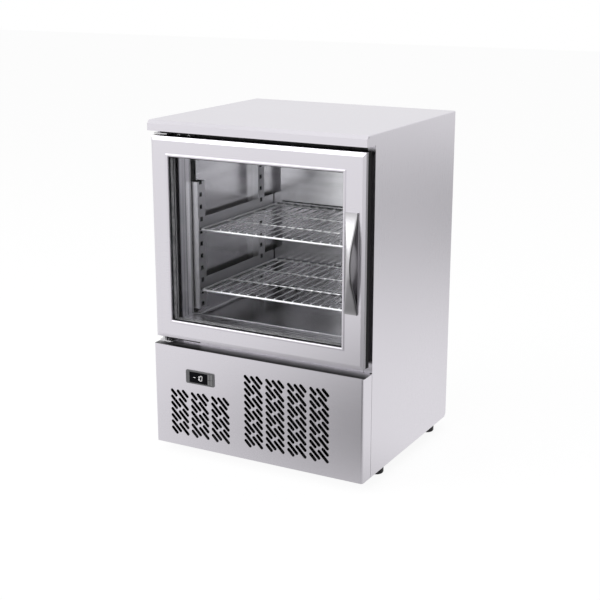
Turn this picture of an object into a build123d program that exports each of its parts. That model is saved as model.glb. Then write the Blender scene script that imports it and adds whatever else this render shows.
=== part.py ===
"""Undercounter freezer with a glazed door, as separate solids in millimetres.

X runs from the left side to the right side with 0 at mid-width. Y runs from the front to the back.
Z runs up from the floor. While a piece is made, Y is 0 on the front face of the door and the cover.
When it is written, Y is moved so that 0 lies at the middle of the overall depth.
"""

import os
from math import cos, pi, sin

from build123d import *

# Case, the stainless outer body
CASE_WIDTH = 600.0
CASE_DEPTH = 528.0
CASE_HEIGHT = 843.0
FOOT_HEIGHT = 27.0
CASE_SHEET = 1.2
REAR_CHAMFER = 8.0
FRONT_RETURN = 6.0
BOTTOM_RETURN = 15.0
REAR_RETURN = 15.0
NOTCH_RADIUS = 4.0

# Worktop and its nose over the door
NOSE_HEIGHT = 26.5
NOSE_BEVEL = 8.5
CORNER_RELIEF_RADIUS = 1.6
CORNER_RELIEF_DROP = 4.8
TOP_EDGE_RADIUS = 3.0

# Door, with its gaps to the nose above and the cover below
DOOR_LEFT_INSET = 8.0
DOOR_RIGHT_INSET = 3.0
DOOR_TOP_GAP = 12.0
DOOR_BOTTOM_GAP = 21.0
DOOR_THICKNESS = 31.0
DOOR_SHEET = 1.0
DOOR_BEVEL_SIDE = 7.5
DOOR_BEVEL_END = 9.5
DOOR_BEVEL_DEPTH = 5.0
DOOR_SKIN_DEPTH = 14.0
SEAL_SPACE = 15.0
GLASS_MARGIN_LEFT = 51.5
GLASS_MARGIN_RIGHT = 56.5
GLASS_MARGIN_TOP = 48.5
GLASS_MARGIN_BOTTOM = 49.0
GLASS_LIP_DEPTH = 5.0
BEAD_WIDTH = 7.5
BEAD_HEIGHT = 2.5
BEAD_ANGLES = (0, 25, 50, 75)

# Glass unit and its seal
PANE_THICKNESS = 4.0
PANE_GAP = 12.0
PANE_OVERLAP = 12.0
SPACER_WIDTH = 8.0
GLAZING_SEAL_THICKNESS = 1.0
GLAZING_SEAL_SHOW = 2.0
POCKET_CLEARANCE = 1.0

# Door gasket
GASKET_LEFT_INSET = 5.5
GASKET_RIGHT_INSET = 3.0
GASKET_END_INSET = 10.0
GASKET_BASE_WIDTH = 14.0
GASKET_LIP_TAPER = 3.0
GASKET_FACE_CLEARANCE = 0.7

# Handle, a back plate and a bowed blade folded from one sheet
HANDLE_WIDTH = 33.0
HANDLE_HEIGHT = 243.0
HANDLE_RIGHT_INSET = 15.5
HANDLE_TOP_DROP = 138.5
HANDLE_PLATE = 1.5
HANDLE_BLADE = 2.0
HANDLE_BOW = 30.0
HANDLE_NARROWING = 5.0
HANDLE_BOW_POWER = 1.6
HANDLE_GAP_START = 5.0
HANDLE_SECTIONS = 15
HANDLE_STUD_RADIUS = 3.0
HANDLE_STUD_LENGTH = 9.0
HANDLE_STUD_INSET = 16.0

# Hinge pins, their brackets and their bushes
PIN_FROM_DOOR_SIDE = 13.0
PIN_FROM_DOOR_FRONT = 22.0
PIN_RADIUS = 4.0
PIN_IN_BUSH = 15.0
PIN_CLEARANCE = 0.05
PIN_SHOULDER_RADIUS = 6.5
DOOR_REST_GAP = 0.3
BUSH_RADIUS = 7.0
BUSH_LENGTH = 20.0
BUSH_COLLAR_RADIUS = 8.5
BUSH_COLLAR_HEIGHT = 1.0
BRACKET_SHEET = 3.0
BRACKET_LENGTH = 104.0
BRACKET_HEIGHT = 20.0
LEAF_LENGTH = 40.0
LEAF_FRONT = 12.0
BRACKET_SIDE_INSET = 8.0
TOP_LEAF_GAP = 3.0
BOTTOM_LEAF_GAP = 13.0
BRACKET_BEHIND_DOOR = 8.5
HINGE_SCREW_OFFSETS = (65.0, 94.5)
BOTTOM_EXTRA_SCREW_OFFSET = 14.5
SCREW_EDGE_MARGIN = 7.0

# Screws, all of one size
SCREW_RADIUS = 2.5
SCREW_HEAD_RADIUS = 4.5
SCREW_HEAD_HEIGHT = 2.6
SCREW_LENGTH = 10.0
SCREW_CLEARANCE = 0.3

# Storage space and the liner round it
SIDE_WALL = 60.0
CAVITY_BACK_WALL = 40.0
CAVITY_FLOOR_ABOVE_COVER = 50.0
CAVITY_TOP_BELOW_WORKTOP = 83.0
LINER_SHEET = 1.0
FLOOR_COVE = 10.0
COVE_UPSTAND = 12.0

# Opening frame of the body
FRAME_SHEET = 1.0
JAMB_DEPTH = 51.0
SILL_RISE = 15.0
HEAD_DROP = 3.0
FRAME_BELOW_COVER_TOP = 10.0
HEM_DEPTH = 3.0
HEM_RISE = 1.2

# Thermal break strips on both side walls
BREAK_WIDTH = 25.0
BREAK_THICKNESS = 6.0

# Pilasters with slots for the shelf runners
PILASTER_WIDTH = 34.0
PILASTER_DEPTH = 18.0
PILASTER_SHEET = 1.2
PILASTER_BELOW_CEILING = 82.0
PILASTER_ABOVE_FLOOR = 27.0
PILASTER_BEHIND_JAMB = 4.0
PILASTER_REAR_SPACE = 51.0
SLOT_PITCH = 32.0
SLOT_WIDTH = 9.0
SLOT_HEIGHT = 8.0
SLOT_FROM_EDGE = 14.0
LOWEST_SLOT_RISE = 11.0

# Shelf runners hooked into the pilasters
RUNNER_SHEET = 1.2
RUNNER_HEIGHT = 33.0
RUNNER_FLANGE = 13.0
RUNNER_HOOK_DROP = 5.0
RUNNER_HOOK_LENGTH = 5.0
RUNNER_HOOK_WIDTH = 6.0
RUNNER_HOOK_HEIGHT = 5.0
RUNNER_END_GAP = 4.0
LOWER_SHELF_SLOT = 2
SHELF_UNDER_TRAY = 10.0

# Wire shelves
SHELF_SIDE_CLEARANCE = 1.8
SHELF_REST_CLEARANCE = 0.3
SHELF_BACK_GAP = 4.0
SHELF_BEHIND_JAMB = 3.0
SHELF_FRAME_RADIUS = 3.0
SHELF_CORNER_RADIUS = 9.0
SHELF_WIRE_RADIUS = 1.75
SHELF_CROSS_RADIUS = 2.5
SHELF_WIRE_PITCH = 26.0
SHELF_WELD_SINK = 0.6
SHELF_CROSS_COUNT = 2

# Front cover of the machine compartment
COVER_HEIGHT = 268.0
COVER_SHEET = 1.2
COVER_SEAM = 1.2
COVER_BEND_RADIUS = 6.0
COVER_BOTTOM_FLANGE = 14.0
COVER_SCREW_INSET = 100.0

# Diagonal vent slots of the cover
VENT_WIDTH = 8.7
VENT_ROW_PITCH = 17.1
VENT_LOWEST_START = 40.0
VENT_SHORT_RUN = 12.3
VENT_LONG_RUN = 23.0
VENT_LEFT_START = 52.0
VENT_LEFT_PITCH = 61.5
VENT_LEFT_COLUMNS = 3
VENT_LEFT_DROP = 120.0
VENT_RIGHT_START = 273.0
VENT_RIGHT_PITCH = 61.8
VENT_RIGHT_COLUMNS = 4
VENT_RIGHT_DROP = 46.5
VENT_TOP_LONG_SHIFT = 18.0
VENT_MIDDLE_SHIFT = 23.0
VENT_MIDDLE_DROP = 5.0
VENT_RIGHT_SHIFT = 34.0
VENT_RIGHT_RISE = 2.0

# Controller in the cover
BEZEL_WIDTH = 85.0
BEZEL_HEIGHT = 36.0
BEZEL_STAND = 2.5
BEZEL_RADIUS = 4.0
BEZEL_FROM_LEFT = 97.0
BEZEL_BELOW_COVER_TOP = 55.5
HOUSING_WIDTH = 79.0
HOUSING_HEIGHT = 32.0
HOUSING_DEPTH = 58.0
HOUSING_CLEARANCE = 0.3
SCREEN_WIDTH = 54.0
SCREEN_HEIGHT = 28.0
SCREEN_FROM_BEZEL_LEFT = 11.5
SCREEN_THICKNESS = 1.6
SCREEN_STAND = 0.4
KEY_WIDTH = 6.4
KEY_HEIGHT = 13.5
KEY_PITCH_X = 7.6
KEY_PITCH_Z = 15.0
KEY_STAND = 1.0
KEY_TRAVEL = 0.8
KEY_DEPTH = 6.0
KEY_CLEARANCE = 0.3
KEY_FROM_BEZEL_RIGHT = 11.5

# Base tray and levelling feet
TRAY_SHEET = 2.0
TRAY_UPTURN = 20.0
FOOT_RADIUS = 19.0
FOOT_ROUNDING = 5.0
FOOT_TOP_GAP = 2.0
FOOT_INSET_X = 29.0
FOOT_FRONT_Y = 140.0
FOOT_REAR_FROM_BACK = 63.0
STUD_RADIUS = 5.0
STUD_LENGTH = 30.0
STUD_CLEARANCE = 0.05
NUT_RADIUS = 9.0
NUT_HEIGHT = 10.0

# Rear grille and cord gland
GRILLE_RECESS = 14.0
GRILLE_SHEET = 1.2
GRILLE_SLOT_WIDTH = 6.0
GRILLE_SLOT_LENGTH = 70.0
GRILLE_SLOT_PITCH = 13.0
GRILLE_COLUMN_PITCH = 92.0
GRILLE_MARGIN_Z = 34.0
GRILLE_MARGIN_X = 60.0
GLAND_FROM_LEFT = 62.0
GLAND_HEIGHT = 110.0
GLAND_BORE_RADIUS = 4.2
GLAND_BODY_RADIUS = 8.0
GLAND_NUT_RADIUS = 12.0
GLAND_NUT_LENGTH = 8.0
GLAND_TAIL = 12.0
GLAND_KEEP_OUT = 20.0

# Condenser with its fan
COIL_WIDTH = 240.0
COIL_HEIGHT = 240.0
COIL_DEPTH = 44.0
COIL_FROM_RIGHT = 85.0
COIL_BEHIND_FRAME = 8.0
COIL_GROUND_GAP = 15.0
FIN_THICKNESS = 0.8
CONDENSER_FINS = 34
END_PLATE = 2.0
TUBE_RADIUS = 5.0
TUBE_STUB = 8.0
CONDENSER_TUBES = 8
SHROUD_SHEET = 1.5
SHROUD_LIP = 22.0
CONDENSER_FAN_RADIUS = 88.0
CONDENSER_FAN_GAP = 4.0
CONDENSER_FAN_FROM_SHROUD = 4.0
CONDENSER_BLADE_CHORD = 46.0
CONDENSER_MOTOR_RADIUS = 36.0
CONDENSER_MOTOR_LENGTH = 50.0
FAN_HUB_GAP = 3.0
MOTOR_POST_WIDTH = 30.0
MOTOR_POST_DEPTH = 16.0

# Shared fan sizes
FAN_BLADES = 5
BLADE_PITCH_DEGREES = 32.0
BLADE_THICKNESS = 2.0
SHAFT_RADIUS = 3.0
SHAFT_CLEARANCE = 0.05
SHAFT_IN_MOTOR = 12.0
SHAFT_END_GAP = 1.0

# Compressor on rubber grommets
COMPRESSOR_FROM_RIGHT = 190.0
COMPRESSOR_FROM_BACK = 198.0
COMPRESSOR_RADIUS = 72.0
COMPRESSOR_HEIGHT = 160.0
COMPRESSOR_DOME = 34.0
COMPRESSOR_SEAM = 3.0
FOOT_PLATE_LENGTH = 190.0
FOOT_PLATE_WIDTH = 120.0
FOOT_PLATE_THICKNESS = 3.0
GROMMET_RADIUS = 12.0
GROMMET_HEIGHT = 20.0
GROMMET_INSET = 14.0
GROMMET_NECK_RADIUS = 6.0
GROMMET_NECK_HEIGHT = 6.0
BOSS_RADIUS = 7.0
BOSS_LENGTH = 10.0
DISCHARGE_X_OFFSET = 40.0
SUCTION_X_OFFSET = -30.0
BOSS_HEIGHT = 130.0
TERMINAL_BOX_LENGTH = 40.0
TERMINAL_BOX_WIDTH = 50.0
TERMINAL_BOX_HEIGHT = 70.0
TERMINAL_BOX_RISE = 55.0

# Filter drier and refrigerant pipes
DRIER_RADIUS = 13.0
DRIER_LENGTH = 110.0
DRIER_NECK = 12.0
DRIER_FROM_BACK = 238.0
PIPE_RADIUS = 4.0
CAPILLARY_RADIUS = 1.5
PIPE_BEND = 14.0
DISCHARGE_FROM_SIDE = 42.0
LIQUID_FROM_SIDE = 32.0
DISCHARGE_LOOP = 36.0
CHASE_HALF_WIDTH = 16.0
CHASE_FROM_LINER = 4.0
CHASE_DEPTH = 22.0

# Evaporation tray for melt water
WATER_TRAY_WIDTH = 200.0
WATER_TRAY_DEPTH = 190.0
WATER_TRAY_HEIGHT = 50.0
WATER_TRAY_WALL = 2.0
WATER_TRAY_FROM_LEFT = 50.0
WATER_TRAY_REAR_GAP = 6.0

# Evaporator behind its cover at the top of the back wall
EVAPORATOR_SIDE_GAP = 69.0
EVAPORATOR_COVER_DEPTH = 48.0
EVAPORATOR_COVER_HEIGHT = 181.0
EVAPORATOR_COVER_SHEET = 1.0
EVAPORATOR_FLANGE = 8.0
EVAPORATOR_COIL_TO_FAN = 33.0
EVAPORATOR_COIL_DEPTH = 34.0
EVAPORATOR_COIL_INSET = 12.0
EVAPORATOR_FINS = 24
EVAPORATOR_TUBES = 6
EVAPORATOR_TUBE_PITCH = 24.0
EVAPORATOR_FAN_RADIUS = 44.0
EVAPORATOR_FAN_FROM_RIGHT = 63.0
EVAPORATOR_BLADE_CHORD = 20.0
EVAPORATOR_MOTOR_RADIUS = 27.0
EVAPORATOR_MOTOR_LENGTH = 19.0
EVAPORATOR_GRILLE_SLOT = 5.0
EVAPORATOR_GRILLE_PITCH = 9.0
DRIP_TRAY_HEIGHT = 14.0
DRIP_TRAY_SHOW = 4.0
DRIP_TRAY_WALL = 2.0
DRIP_TRAY_INSET = 3.0
DRAIN_FROM_LEFT = 51.0
DRAIN_RADIUS = 7.0
DRAIN_BORE = 5.5
DRAIN_HOLE_CLEARANCE = 1.0
DRAIN_END_HEIGHT = 105.0

# Places worked out from the sizes above
half_width = CASE_WIDTH / 2
case_bottom = FOOT_HEIGHT
case_top = FOOT_HEIGHT + CASE_HEIGHT
nose_bottom = case_top - NOSE_HEIGHT
body_front = DOOR_THICKNESS + SEAL_SPACE
inner_half = half_width - CASE_SHEET
back_inside = CASE_DEPTH - CASE_SHEET
handle_reach = HANDLE_PLATE + HANDLE_BLADE + HANDLE_BOW
depth_shift = (CASE_DEPTH - handle_reach) / 2

cover_top = case_bottom + COVER_HEIGHT
door_bottom = cover_top + DOOR_BOTTOM_GAP
door_top = nose_bottom - DOOR_TOP_GAP
door_left = -half_width + DOOR_LEFT_INSET
door_right = half_width - DOOR_RIGHT_INSET
glass_left = door_left + GLASS_MARGIN_LEFT
glass_right = door_right - GLASS_MARGIN_RIGHT
glass_bottom = door_bottom + GLASS_MARGIN_BOTTOM
glass_top = door_top - GLASS_MARGIN_TOP
lip_back = GLASS_LIP_DEPTH
pane_front = lip_back + GLAZING_SEAL_THICKNESS
pane_back = pane_front + 2 * PANE_THICKNESS + PANE_GAP
pin_x = door_left + PIN_FROM_DOOR_SIDE
pin_y = PIN_FROM_DOOR_FRONT

cavity_half = half_width - SIDE_WALL
cavity_floor = cover_top + CAVITY_FLOOR_ABOVE_COVER
cavity_top = case_top - CAVITY_TOP_BELOW_WORKTOP
cavity_back = CASE_DEPTH - CAVITY_BACK_WALL
jamb_back = body_front + JAMB_DEPTH
sill_top = cavity_floor + SILL_RISE
head_bottom = cavity_top - HEAD_DROP
liner_front = jamb_back + BREAK_WIDTH
frame_half = half_width - FRONT_RETURN
frame_bottom = cover_top - FRAME_BELOW_COVER_TOP

pilaster_front_y = jamb_back + PILASTER_BEHIND_JAMB
pilaster_rear_y = cavity_back - PILASTER_REAR_SPACE - PILASTER_WIDTH
pilaster_bottom = cavity_floor + PILASTER_ABOVE_FLOOR
pilaster_top = cavity_top - PILASTER_BELOW_CEILING
pilaster_face = cavity_half - PILASTER_DEPTH
runner_face = pilaster_face - RUNNER_SHEET
shelf_half = runner_face - SHELF_SIDE_CLEARANCE
shelf_back = cavity_back - SHELF_BACK_GAP
shelf_front = jamb_back + SHELF_BEHIND_JAMB

tray_bottom = case_bottom + CASE_SHEET
tray_top = tray_bottom + TRAY_SHEET
foot_x = half_width - FOOT_INSET_X
foot_rear_y = CASE_DEPTH - FOOT_REAR_FROM_BACK
grille_y = CASE_DEPTH - GRILLE_RECESS
gland_x = -half_width + GLAND_FROM_LEFT
cover_screw_x = half_width - COVER_SCREW_INSET

coil_front = body_front + COIL_BEHIND_FRAME
coil_back = coil_front + COIL_DEPTH
coil_right = half_width - COIL_FROM_RIGHT
coil_left = coil_right - COIL_WIDTH
coil_bottom = tray_top + COIL_GROUND_GAP
coil_mid_x = coil_left + COIL_WIDTH / 2
coil_mid_y = coil_front + COIL_DEPTH / 2
coil_mid_z = coil_bottom + COIL_HEIGHT / 2
condenser_tube_pitch = COIL_HEIGHT / CONDENSER_TUBES
shroud_back = coil_back + SHROUD_SHEET
condenser_fan_depth = CONDENSER_BLADE_CHORD * sin(BLADE_PITCH_DEGREES * pi / 180) + BLADE_THICKNESS
condenser_fan_front = shroud_back + CONDENSER_FAN_FROM_SHROUD
condenser_motor_front = condenser_fan_front + condenser_fan_depth + FAN_HUB_GAP

compressor_x = half_width - COMPRESSOR_FROM_RIGHT
compressor_y = CASE_DEPTH - COMPRESSOR_FROM_BACK
plate_bottom = tray_top + GROMMET_HEIGHT
compressor_bottom = plate_bottom + FOOT_PLATE_THICKNESS
boss_z = compressor_bottom + BOSS_HEIGHT
drier_y = CASE_DEPTH - DRIER_FROM_BACK
discharge_x = half_width - DISCHARGE_FROM_SIDE
liquid_x = half_width - LIQUID_FROM_SIDE
chase_front = cavity_back + LINER_SHEET + CHASE_FROM_LINER
chase_mid = chase_front + CHASE_DEPTH / 2

evaporator_half = cavity_half - EVAPORATOR_SIDE_GAP
evaporator_fan_x = evaporator_half - EVAPORATOR_FAN_FROM_RIGHT
drain_x = -evaporator_half + DRAIN_FROM_LEFT
evaporator_front = cavity_back - EVAPORATOR_COVER_DEPTH
evaporator_bottom = cavity_top - EVAPORATOR_COVER_HEIGHT
evaporator_coil_left = -evaporator_half + EVAPORATOR_COIL_INSET
evaporator_coil_right = evaporator_fan_x - EVAPORATOR_FAN_RADIUS - EVAPORATOR_COIL_TO_FAN
evaporator_mid_z = (cavity_top + evaporator_bottom) / 2
evaporator_coil_height = EVAPORATOR_TUBES * EVAPORATOR_TUBE_PITCH
evaporator_coil_mid_y = evaporator_front + EVAPORATOR_COVER_DEPTH / 2
evaporator_motor_front = cavity_back - EVAPORATOR_MOTOR_LENGTH
evaporator_fan_depth = EVAPORATOR_BLADE_CHORD * sin(BLADE_PITCH_DEGREES * pi / 180) + BLADE_THICKNESS
evaporator_fan_front = evaporator_motor_front - FAN_HUB_GAP - evaporator_fan_depth
first_evaporator_tube = evaporator_mid_z - (EVAPORATOR_TUBES - 1) / 2 * EVAPORATOR_TUBE_PITCH
last_evaporator_tube = evaporator_mid_z + (EVAPORATOR_TUBES - 1) / 2 * EVAPORATOR_TUBE_PITCH
capillary_x = evaporator_coil_right + TUBE_STUB + PIPE_BEND
suction_x = compressor_x + SUCTION_X_OFFSET

CUT = 5.0


def block(x0, x1, y0, y1, z0, z1):
    """A box between two corners."""
    middle = Pos((x0 + x1) / 2, (y0 + y1) / 2, (z0 + z1) / 2)
    return middle * Box(abs(x1 - x0), abs(y1 - y0), abs(z1 - z0))


def prism_yz(points, x0, x1):
    """A solid from x0 to x1 whose outline is given as (y, z) points."""
    face = make_face(Polyline(*points, close=True))
    return Pos(x0, 0, 0) * extrude(Plane.YZ * face, amount=x1 - x0)


def rod(start, end, radius):
    """A round bar between two points."""
    a = Vector(*start)
    b = Vector(*end)
    bar = Cylinder(radius, (b - a).length, align=(Align.CENTER, Align.CENTER, Align.MIN))
    return Plane(origin=a, z_dir=b - a) * bar


def along_y(shape):
    """Turns a shape made along +Z so that it points along +Y."""
    return Rot(-90, 0, 0) * shape


def ring(outer, inner, y0, y1):
    """A rectangular ring between y0 and y1, its two outlines as (x0, x1, z0, z1)."""
    solid = block(outer[0], outer[1], y0, y1, outer[2], outer[3])
    return solid - block(inner[0], inner[1], y0 - CUT, y1 + CUT, inner[2], inner[3])


def frustum(wide, narrow, y_wide, y_narrow):
    """A solid that tapers between two rectangles given as (x0, x1, z0, z1)."""
    faces = []
    for (x0, x1, z0, z1), y in ((wide, y_wide), (narrow, y_narrow)):
        corners = [(x0, y, z0), (x1, y, z0), (x1, y, z1), (x0, y, z1)]
        faces.append(make_face(Polyline(*corners, close=True)))
    return loft(faces, ruled=True)


def grown(outline, amount):
    """A rectangle (x0, x1, z0, z1) made larger by the same amount all round."""
    x0, x1, z0, z1 = outline
    return (x0 - amount, x1 + amount, z0 - amount, z1 + amount)


def pipe(points, radius, bend):
    """A round pipe through the points, with rounded bends."""
    path = FilletPolyline(*points, radius=bend)
    section = Plane(origin=path @ 0, z_dir=path % 0) * Circle(radius)
    return sweep(section, path=path)


def fan(radius, depth, chord, shaft_reach):
    """Blades on a hub along +Z, starting at z = 0, with the shaft standing out of the far end."""
    hub_radius = radius * 0.3
    blade_length = radius - hub_radius * 0.9
    wheel = Cylinder(hub_radius, depth, align=(Align.CENTER, Align.CENTER, Align.MIN))
    for number in range(FAN_BLADES):
        blade = Box(blade_length, chord, BLADE_THICKNESS)
        middle = Pos(radius - blade_length / 2, 0, depth / 2)
        wheel += Rot(0, 0, 360 / FAN_BLADES * number) * middle * Rot(BLADE_PITCH_DEGREES, 0, 0) * blade
    wheel &= Cylinder(radius, depth, align=(Align.CENTER, Align.CENTER, Align.MIN))
    shaft = Cylinder(SHAFT_RADIUS, depth + shaft_reach, align=(Align.CENTER, Align.CENTER, Align.MIN))
    return wheel + shaft


def motor(radius, length):
    """A round motor along +Z from z = 0, with a blind bore for the shaft."""
    body = Cylinder(radius, length, align=(Align.CENTER, Align.CENTER, Align.MIN))
    body = fillet(body.edges().filter_by(GeomType.CIRCLE), min(3.0, length / 5))
    bore = Cylinder(
        SHAFT_RADIUS + SHAFT_CLEARANCE,
        SHAFT_IN_MOTOR + SHAFT_END_GAP,
        align=(Align.CENTER, Align.CENTER, Align.MIN),
    )
    return body - bore


def finned_coil(x0, x1, y0, y1, z0, z1, fins, tube_z, tube_y):
    """Thin fins from x0 to x1 on round tubes, with a thicker plate at each end."""
    pitch = (x1 - x0) / (fins + 1)
    coil = block(x0 - END_PLATE, x0, y0, y1, z0, z1)
    coil += block(x1, x1 + END_PLATE, y0, y1, z0, z1)
    plates = []
    for number in range(fins):
        x = x0 + pitch * (number + 1)
        plates.append(block(x - FIN_THICKNESS / 2, x + FIN_THICKNESS / 2, y0, y1, z0, z1))
    tubes = []
    for z in tube_z:
        tubes.append(rod((x0 - TUBE_STUB, tube_y, z), (x1 + TUBE_STUB, tube_y, z), TUBE_RADIUS))
    coil += plates
    coil += tubes
    return coil


# Outlines on the front, as (x0, x1, z0, z1)
door_outline = (door_left, door_right, door_bottom, door_top)
glass_outline = (glass_left, glass_right, glass_bottom, glass_top)
mouth_outline = (-cavity_half, cavity_half, sill_top, head_bottom)


def nose_outline():
    """The side view of the worktop and its nose as (y, z) points."""
    return [
        (0, nose_bottom),
        (0, case_top - NOSE_BEVEL),
        (NOSE_BEVEL, case_top),
        (CASE_DEPTH, case_top),
        (CASE_DEPTH, nose_bottom),
    ]


def worktop():
    """Folded top sheet with a bevelled nose, rounded long edges and a turned-down rear flange."""
    body = prism_yz(nose_outline(), -half_width, half_width)
    long_edges = body.edges().filter_by(Axis.X, reverse=True).group_by(Axis.Z)[-1].filter_by(Axis.Y)
    body = fillet(long_edges, TOP_EDGE_RADIUS)
    outline = make_face(Polyline(*nose_outline(), close=True))
    inside = offset(outline, amount=-CASE_SHEET, kind=Kind.INTERSECTION)
    body -= Pos(-inner_half, 0, 0) * extrude(Plane.YZ * inside, amount=2 * inner_half)
    body -= block(-inner_half, inner_half, body_front, back_inside, nose_bottom - CUT, case_top - CASE_SHEET)
    for side in (-1, 1):
        edge = (side * inner_half, side * (half_width + CUT))
        body -= block(edge[0], edge[1], -CUT, CASE_DEPTH + CUT, nose_bottom - CUT, case_top - TOP_EDGE_RADIUS)
    return body


def side_panel(side):
    """Side sheet with the nose's end cap, its relief hole, and a front, a bottom and a rear return."""
    outline = [
        (body_front, case_bottom),
        (CASE_DEPTH - REAR_CHAMFER, case_bottom),
        (CASE_DEPTH, case_bottom + REAR_CHAMFER),
        (CASE_DEPTH, case_top),
        (NOSE_BEVEL, case_top),
        (0, case_top - NOSE_BEVEL),
        (0, nose_bottom),
        (body_front, nose_bottom),
    ]
    panel = prism_yz(outline, inner_half, half_width)
    notch = panel.edges().filter_by(Axis.X).sort_by_distance((half_width, body_front, nose_bottom))[0]
    panel = fillet(notch, NOTCH_RADIUS)
    panel -= block(0, half_width + CUT, -CUT, CASE_DEPTH + CUT, case_top - TOP_EDGE_RADIUS, case_top + CUT)
    relief_z = case_top - CORNER_RELIEF_DROP
    panel -= rod((0, NOSE_BEVEL, relief_z), (half_width + CUT, NOSE_BEVEL, relief_z), CORNER_RELIEF_RADIUS)
    panel += block(frame_half, inner_half, body_front, body_front + CASE_SHEET, case_bottom, nose_bottom)
    panel += block(
        half_width - BOTTOM_RETURN,
        inner_half,
        body_front,
        CASE_DEPTH - REAR_CHAMFER,
        case_bottom,
        tray_bottom,
    )
    panel += block(
        half_width - REAR_RETURN,
        inner_half,
        back_inside,
        CASE_DEPTH,
        case_bottom + REAR_CHAMFER,
        nose_bottom,
    )
    return panel if side > 0 else mirror(panel, about=Plane.YZ)


def rear_panel():
    """Upper back sheet between the rear returns of the side panels."""
    reach = half_width - REAR_RETURN
    return block(-reach, reach, back_inside, CASE_DEPTH, cover_top, nose_bottom)


def rear_grille():
    """Recessed sheet with rows of slots between the side panels, closing the machine compartment."""
    low = tray_top
    high = cover_top - LINER_SHEET
    pan = block(-inner_half, inner_half, grille_y - GRILLE_SHEET, grille_y, low, high)
    slots = []
    columns = int((2 * (half_width - GRILLE_MARGIN_X) - GRILLE_SLOT_LENGTH) / GRILLE_COLUMN_PITCH)
    rows = int((high - low - 2 * GRILLE_MARGIN_Z) / GRILLE_SLOT_PITCH)
    for column in range(columns + 1):
        x = (column - columns / 2) * GRILLE_COLUMN_PITCH
        for row in range(rows + 1):
            z = (low + high) / 2 + (row - rows / 2) * GRILLE_SLOT_PITCH
            reach_x = GRILLE_SLOT_LENGTH / 2 + GLAND_KEEP_OUT
            if abs(x - gland_x) < reach_x and abs(z - GLAND_HEIGHT) < GLAND_KEEP_OUT:
                continue
            slot = SlotOverall(GRILLE_SLOT_LENGTH, GRILLE_SLOT_WIDTH)
            face = Plane.XZ.offset(-grille_y) * Pos(x, z) * slot
            slots.append(extrude(face, amount=GRILLE_SHEET * 2, both=True))
    pan -= slots
    pan -= rod((gland_x, grille_y - CUT, GLAND_HEIGHT), (gland_x, grille_y + CUT, GLAND_HEIGHT), GLAND_BODY_RADIUS)
    return pan


def cord_gland():
    """Plastic gland with a nut each side of the grille sheet and a bore for a mains cord."""
    front = grille_y - GRILLE_SHEET
    axis = (gland_x, GLAND_HEIGHT)
    body = rod((axis[0], front - GLAND_TAIL, axis[1]), (axis[0], grille_y + GLAND_TAIL, axis[1]), GLAND_BODY_RADIUS)
    for start, end in ((front - GLAND_NUT_LENGTH, front), (grille_y, grille_y + GLAND_NUT_LENGTH)):
        nut = RegularPolygon(GLAND_NUT_RADIUS, 6)
        body += extrude(Plane.XZ.offset(-end) * Pos(*axis) * nut, amount=end - start)
    bore_start = (axis[0], front - GLAND_TAIL - CUT, axis[1])
    bore_end = (axis[0], grille_y + GLAND_TAIL + CUT, axis[1])
    return body - rod(bore_start, bore_end, GLAND_BORE_RADIUS)


def foot_places():
    """The four feet as (name, x, y)."""
    return [
        ("foot_front_left", -foot_x, FOOT_FRONT_Y),
        ("foot_front_right", foot_x, FOOT_FRONT_Y),
        ("foot_rear_left", -foot_x, foot_rear_y),
        ("foot_rear_right", foot_x, foot_rear_y),
    ]


def base_tray():
    """Floor plate of the machine compartment with two upturned edges and four nuts for the feet."""
    front = body_front + CASE_SHEET
    rear = grille_y - GRILLE_SHEET
    reach = inner_half
    tray = block(-reach, reach, front, rear, tray_bottom, tray_top)
    tray += block(-reach, reach, front, front + TRAY_SHEET, tray_top, tray_top + TRAY_UPTURN)
    for _, x, y in foot_places():
        tray += rod((x, y, tray_top), (x, y, tray_top + NUT_HEIGHT), NUT_RADIUS)
        tray -= rod((x, y, tray_bottom - CUT), (x, y, tray_top + NUT_HEIGHT + CUT), STUD_RADIUS + STUD_CLEARANCE)
    for side in (-1, 1):
        x = side * cover_screw_x
        y = body_front + COVER_BOTTOM_FLANGE / 2
        tray -= rod((x, y, tray_bottom - CUT), (x, y, tray_top + CUT), SCREW_RADIUS + SCREW_CLEARANCE)
    return tray


def foot(x, y):
    """Round plastic foot moulded on a threaded stud."""
    top = case_bottom - FOOT_TOP_GAP
    pad = Cylinder(FOOT_RADIUS, top, align=(Align.CENTER, Align.CENTER, Align.MIN))
    pad = fillet(pad.edges().group_by(Axis.Z)[0], FOOT_ROUNDING)
    stud = Cylinder(STUD_RADIUS, top + STUD_LENGTH, align=(Align.CENTER, Align.CENTER, Align.MIN))
    stud -= Cylinder(STUD_RADIUS + CUT, top / 2, align=(Align.CENTER, Align.CENTER, Align.MIN))
    return Pos(x, y, 0) * (pad + stud)


def chase(x, z0, z1):
    """The hollow in the rear foam that a pipe or drain runs down."""
    y0 = chase_front
    return block(x - CHASE_HALF_WIDTH, x + CHASE_HALF_WIDTH, y0, y0 + CHASE_DEPTH, z0, z1)


def wall_hole(x, z, radius):
    """The hole through the back wall that leads into a chase."""
    return rod((x, cavity_back - CUT, z), (x, chase_mid, z), radius)


def pipe_holes():
    """Holes through the liner back and the foam for both pipes and the drain."""
    drain_z = evaporator_bottom + DRIP_TRAY_HEIGHT / 2 - DRIP_TRAY_SHOW
    return [
        wall_hole(capillary_x, first_evaporator_tube, TUBE_RADIUS),
        wall_hole(suction_x, last_evaporator_tube, TUBE_RADIUS + 1),
        wall_hole(drain_x, drain_z, DRAIN_RADIUS + DRAIN_HOLE_CLEARANCE),
    ]


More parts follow.
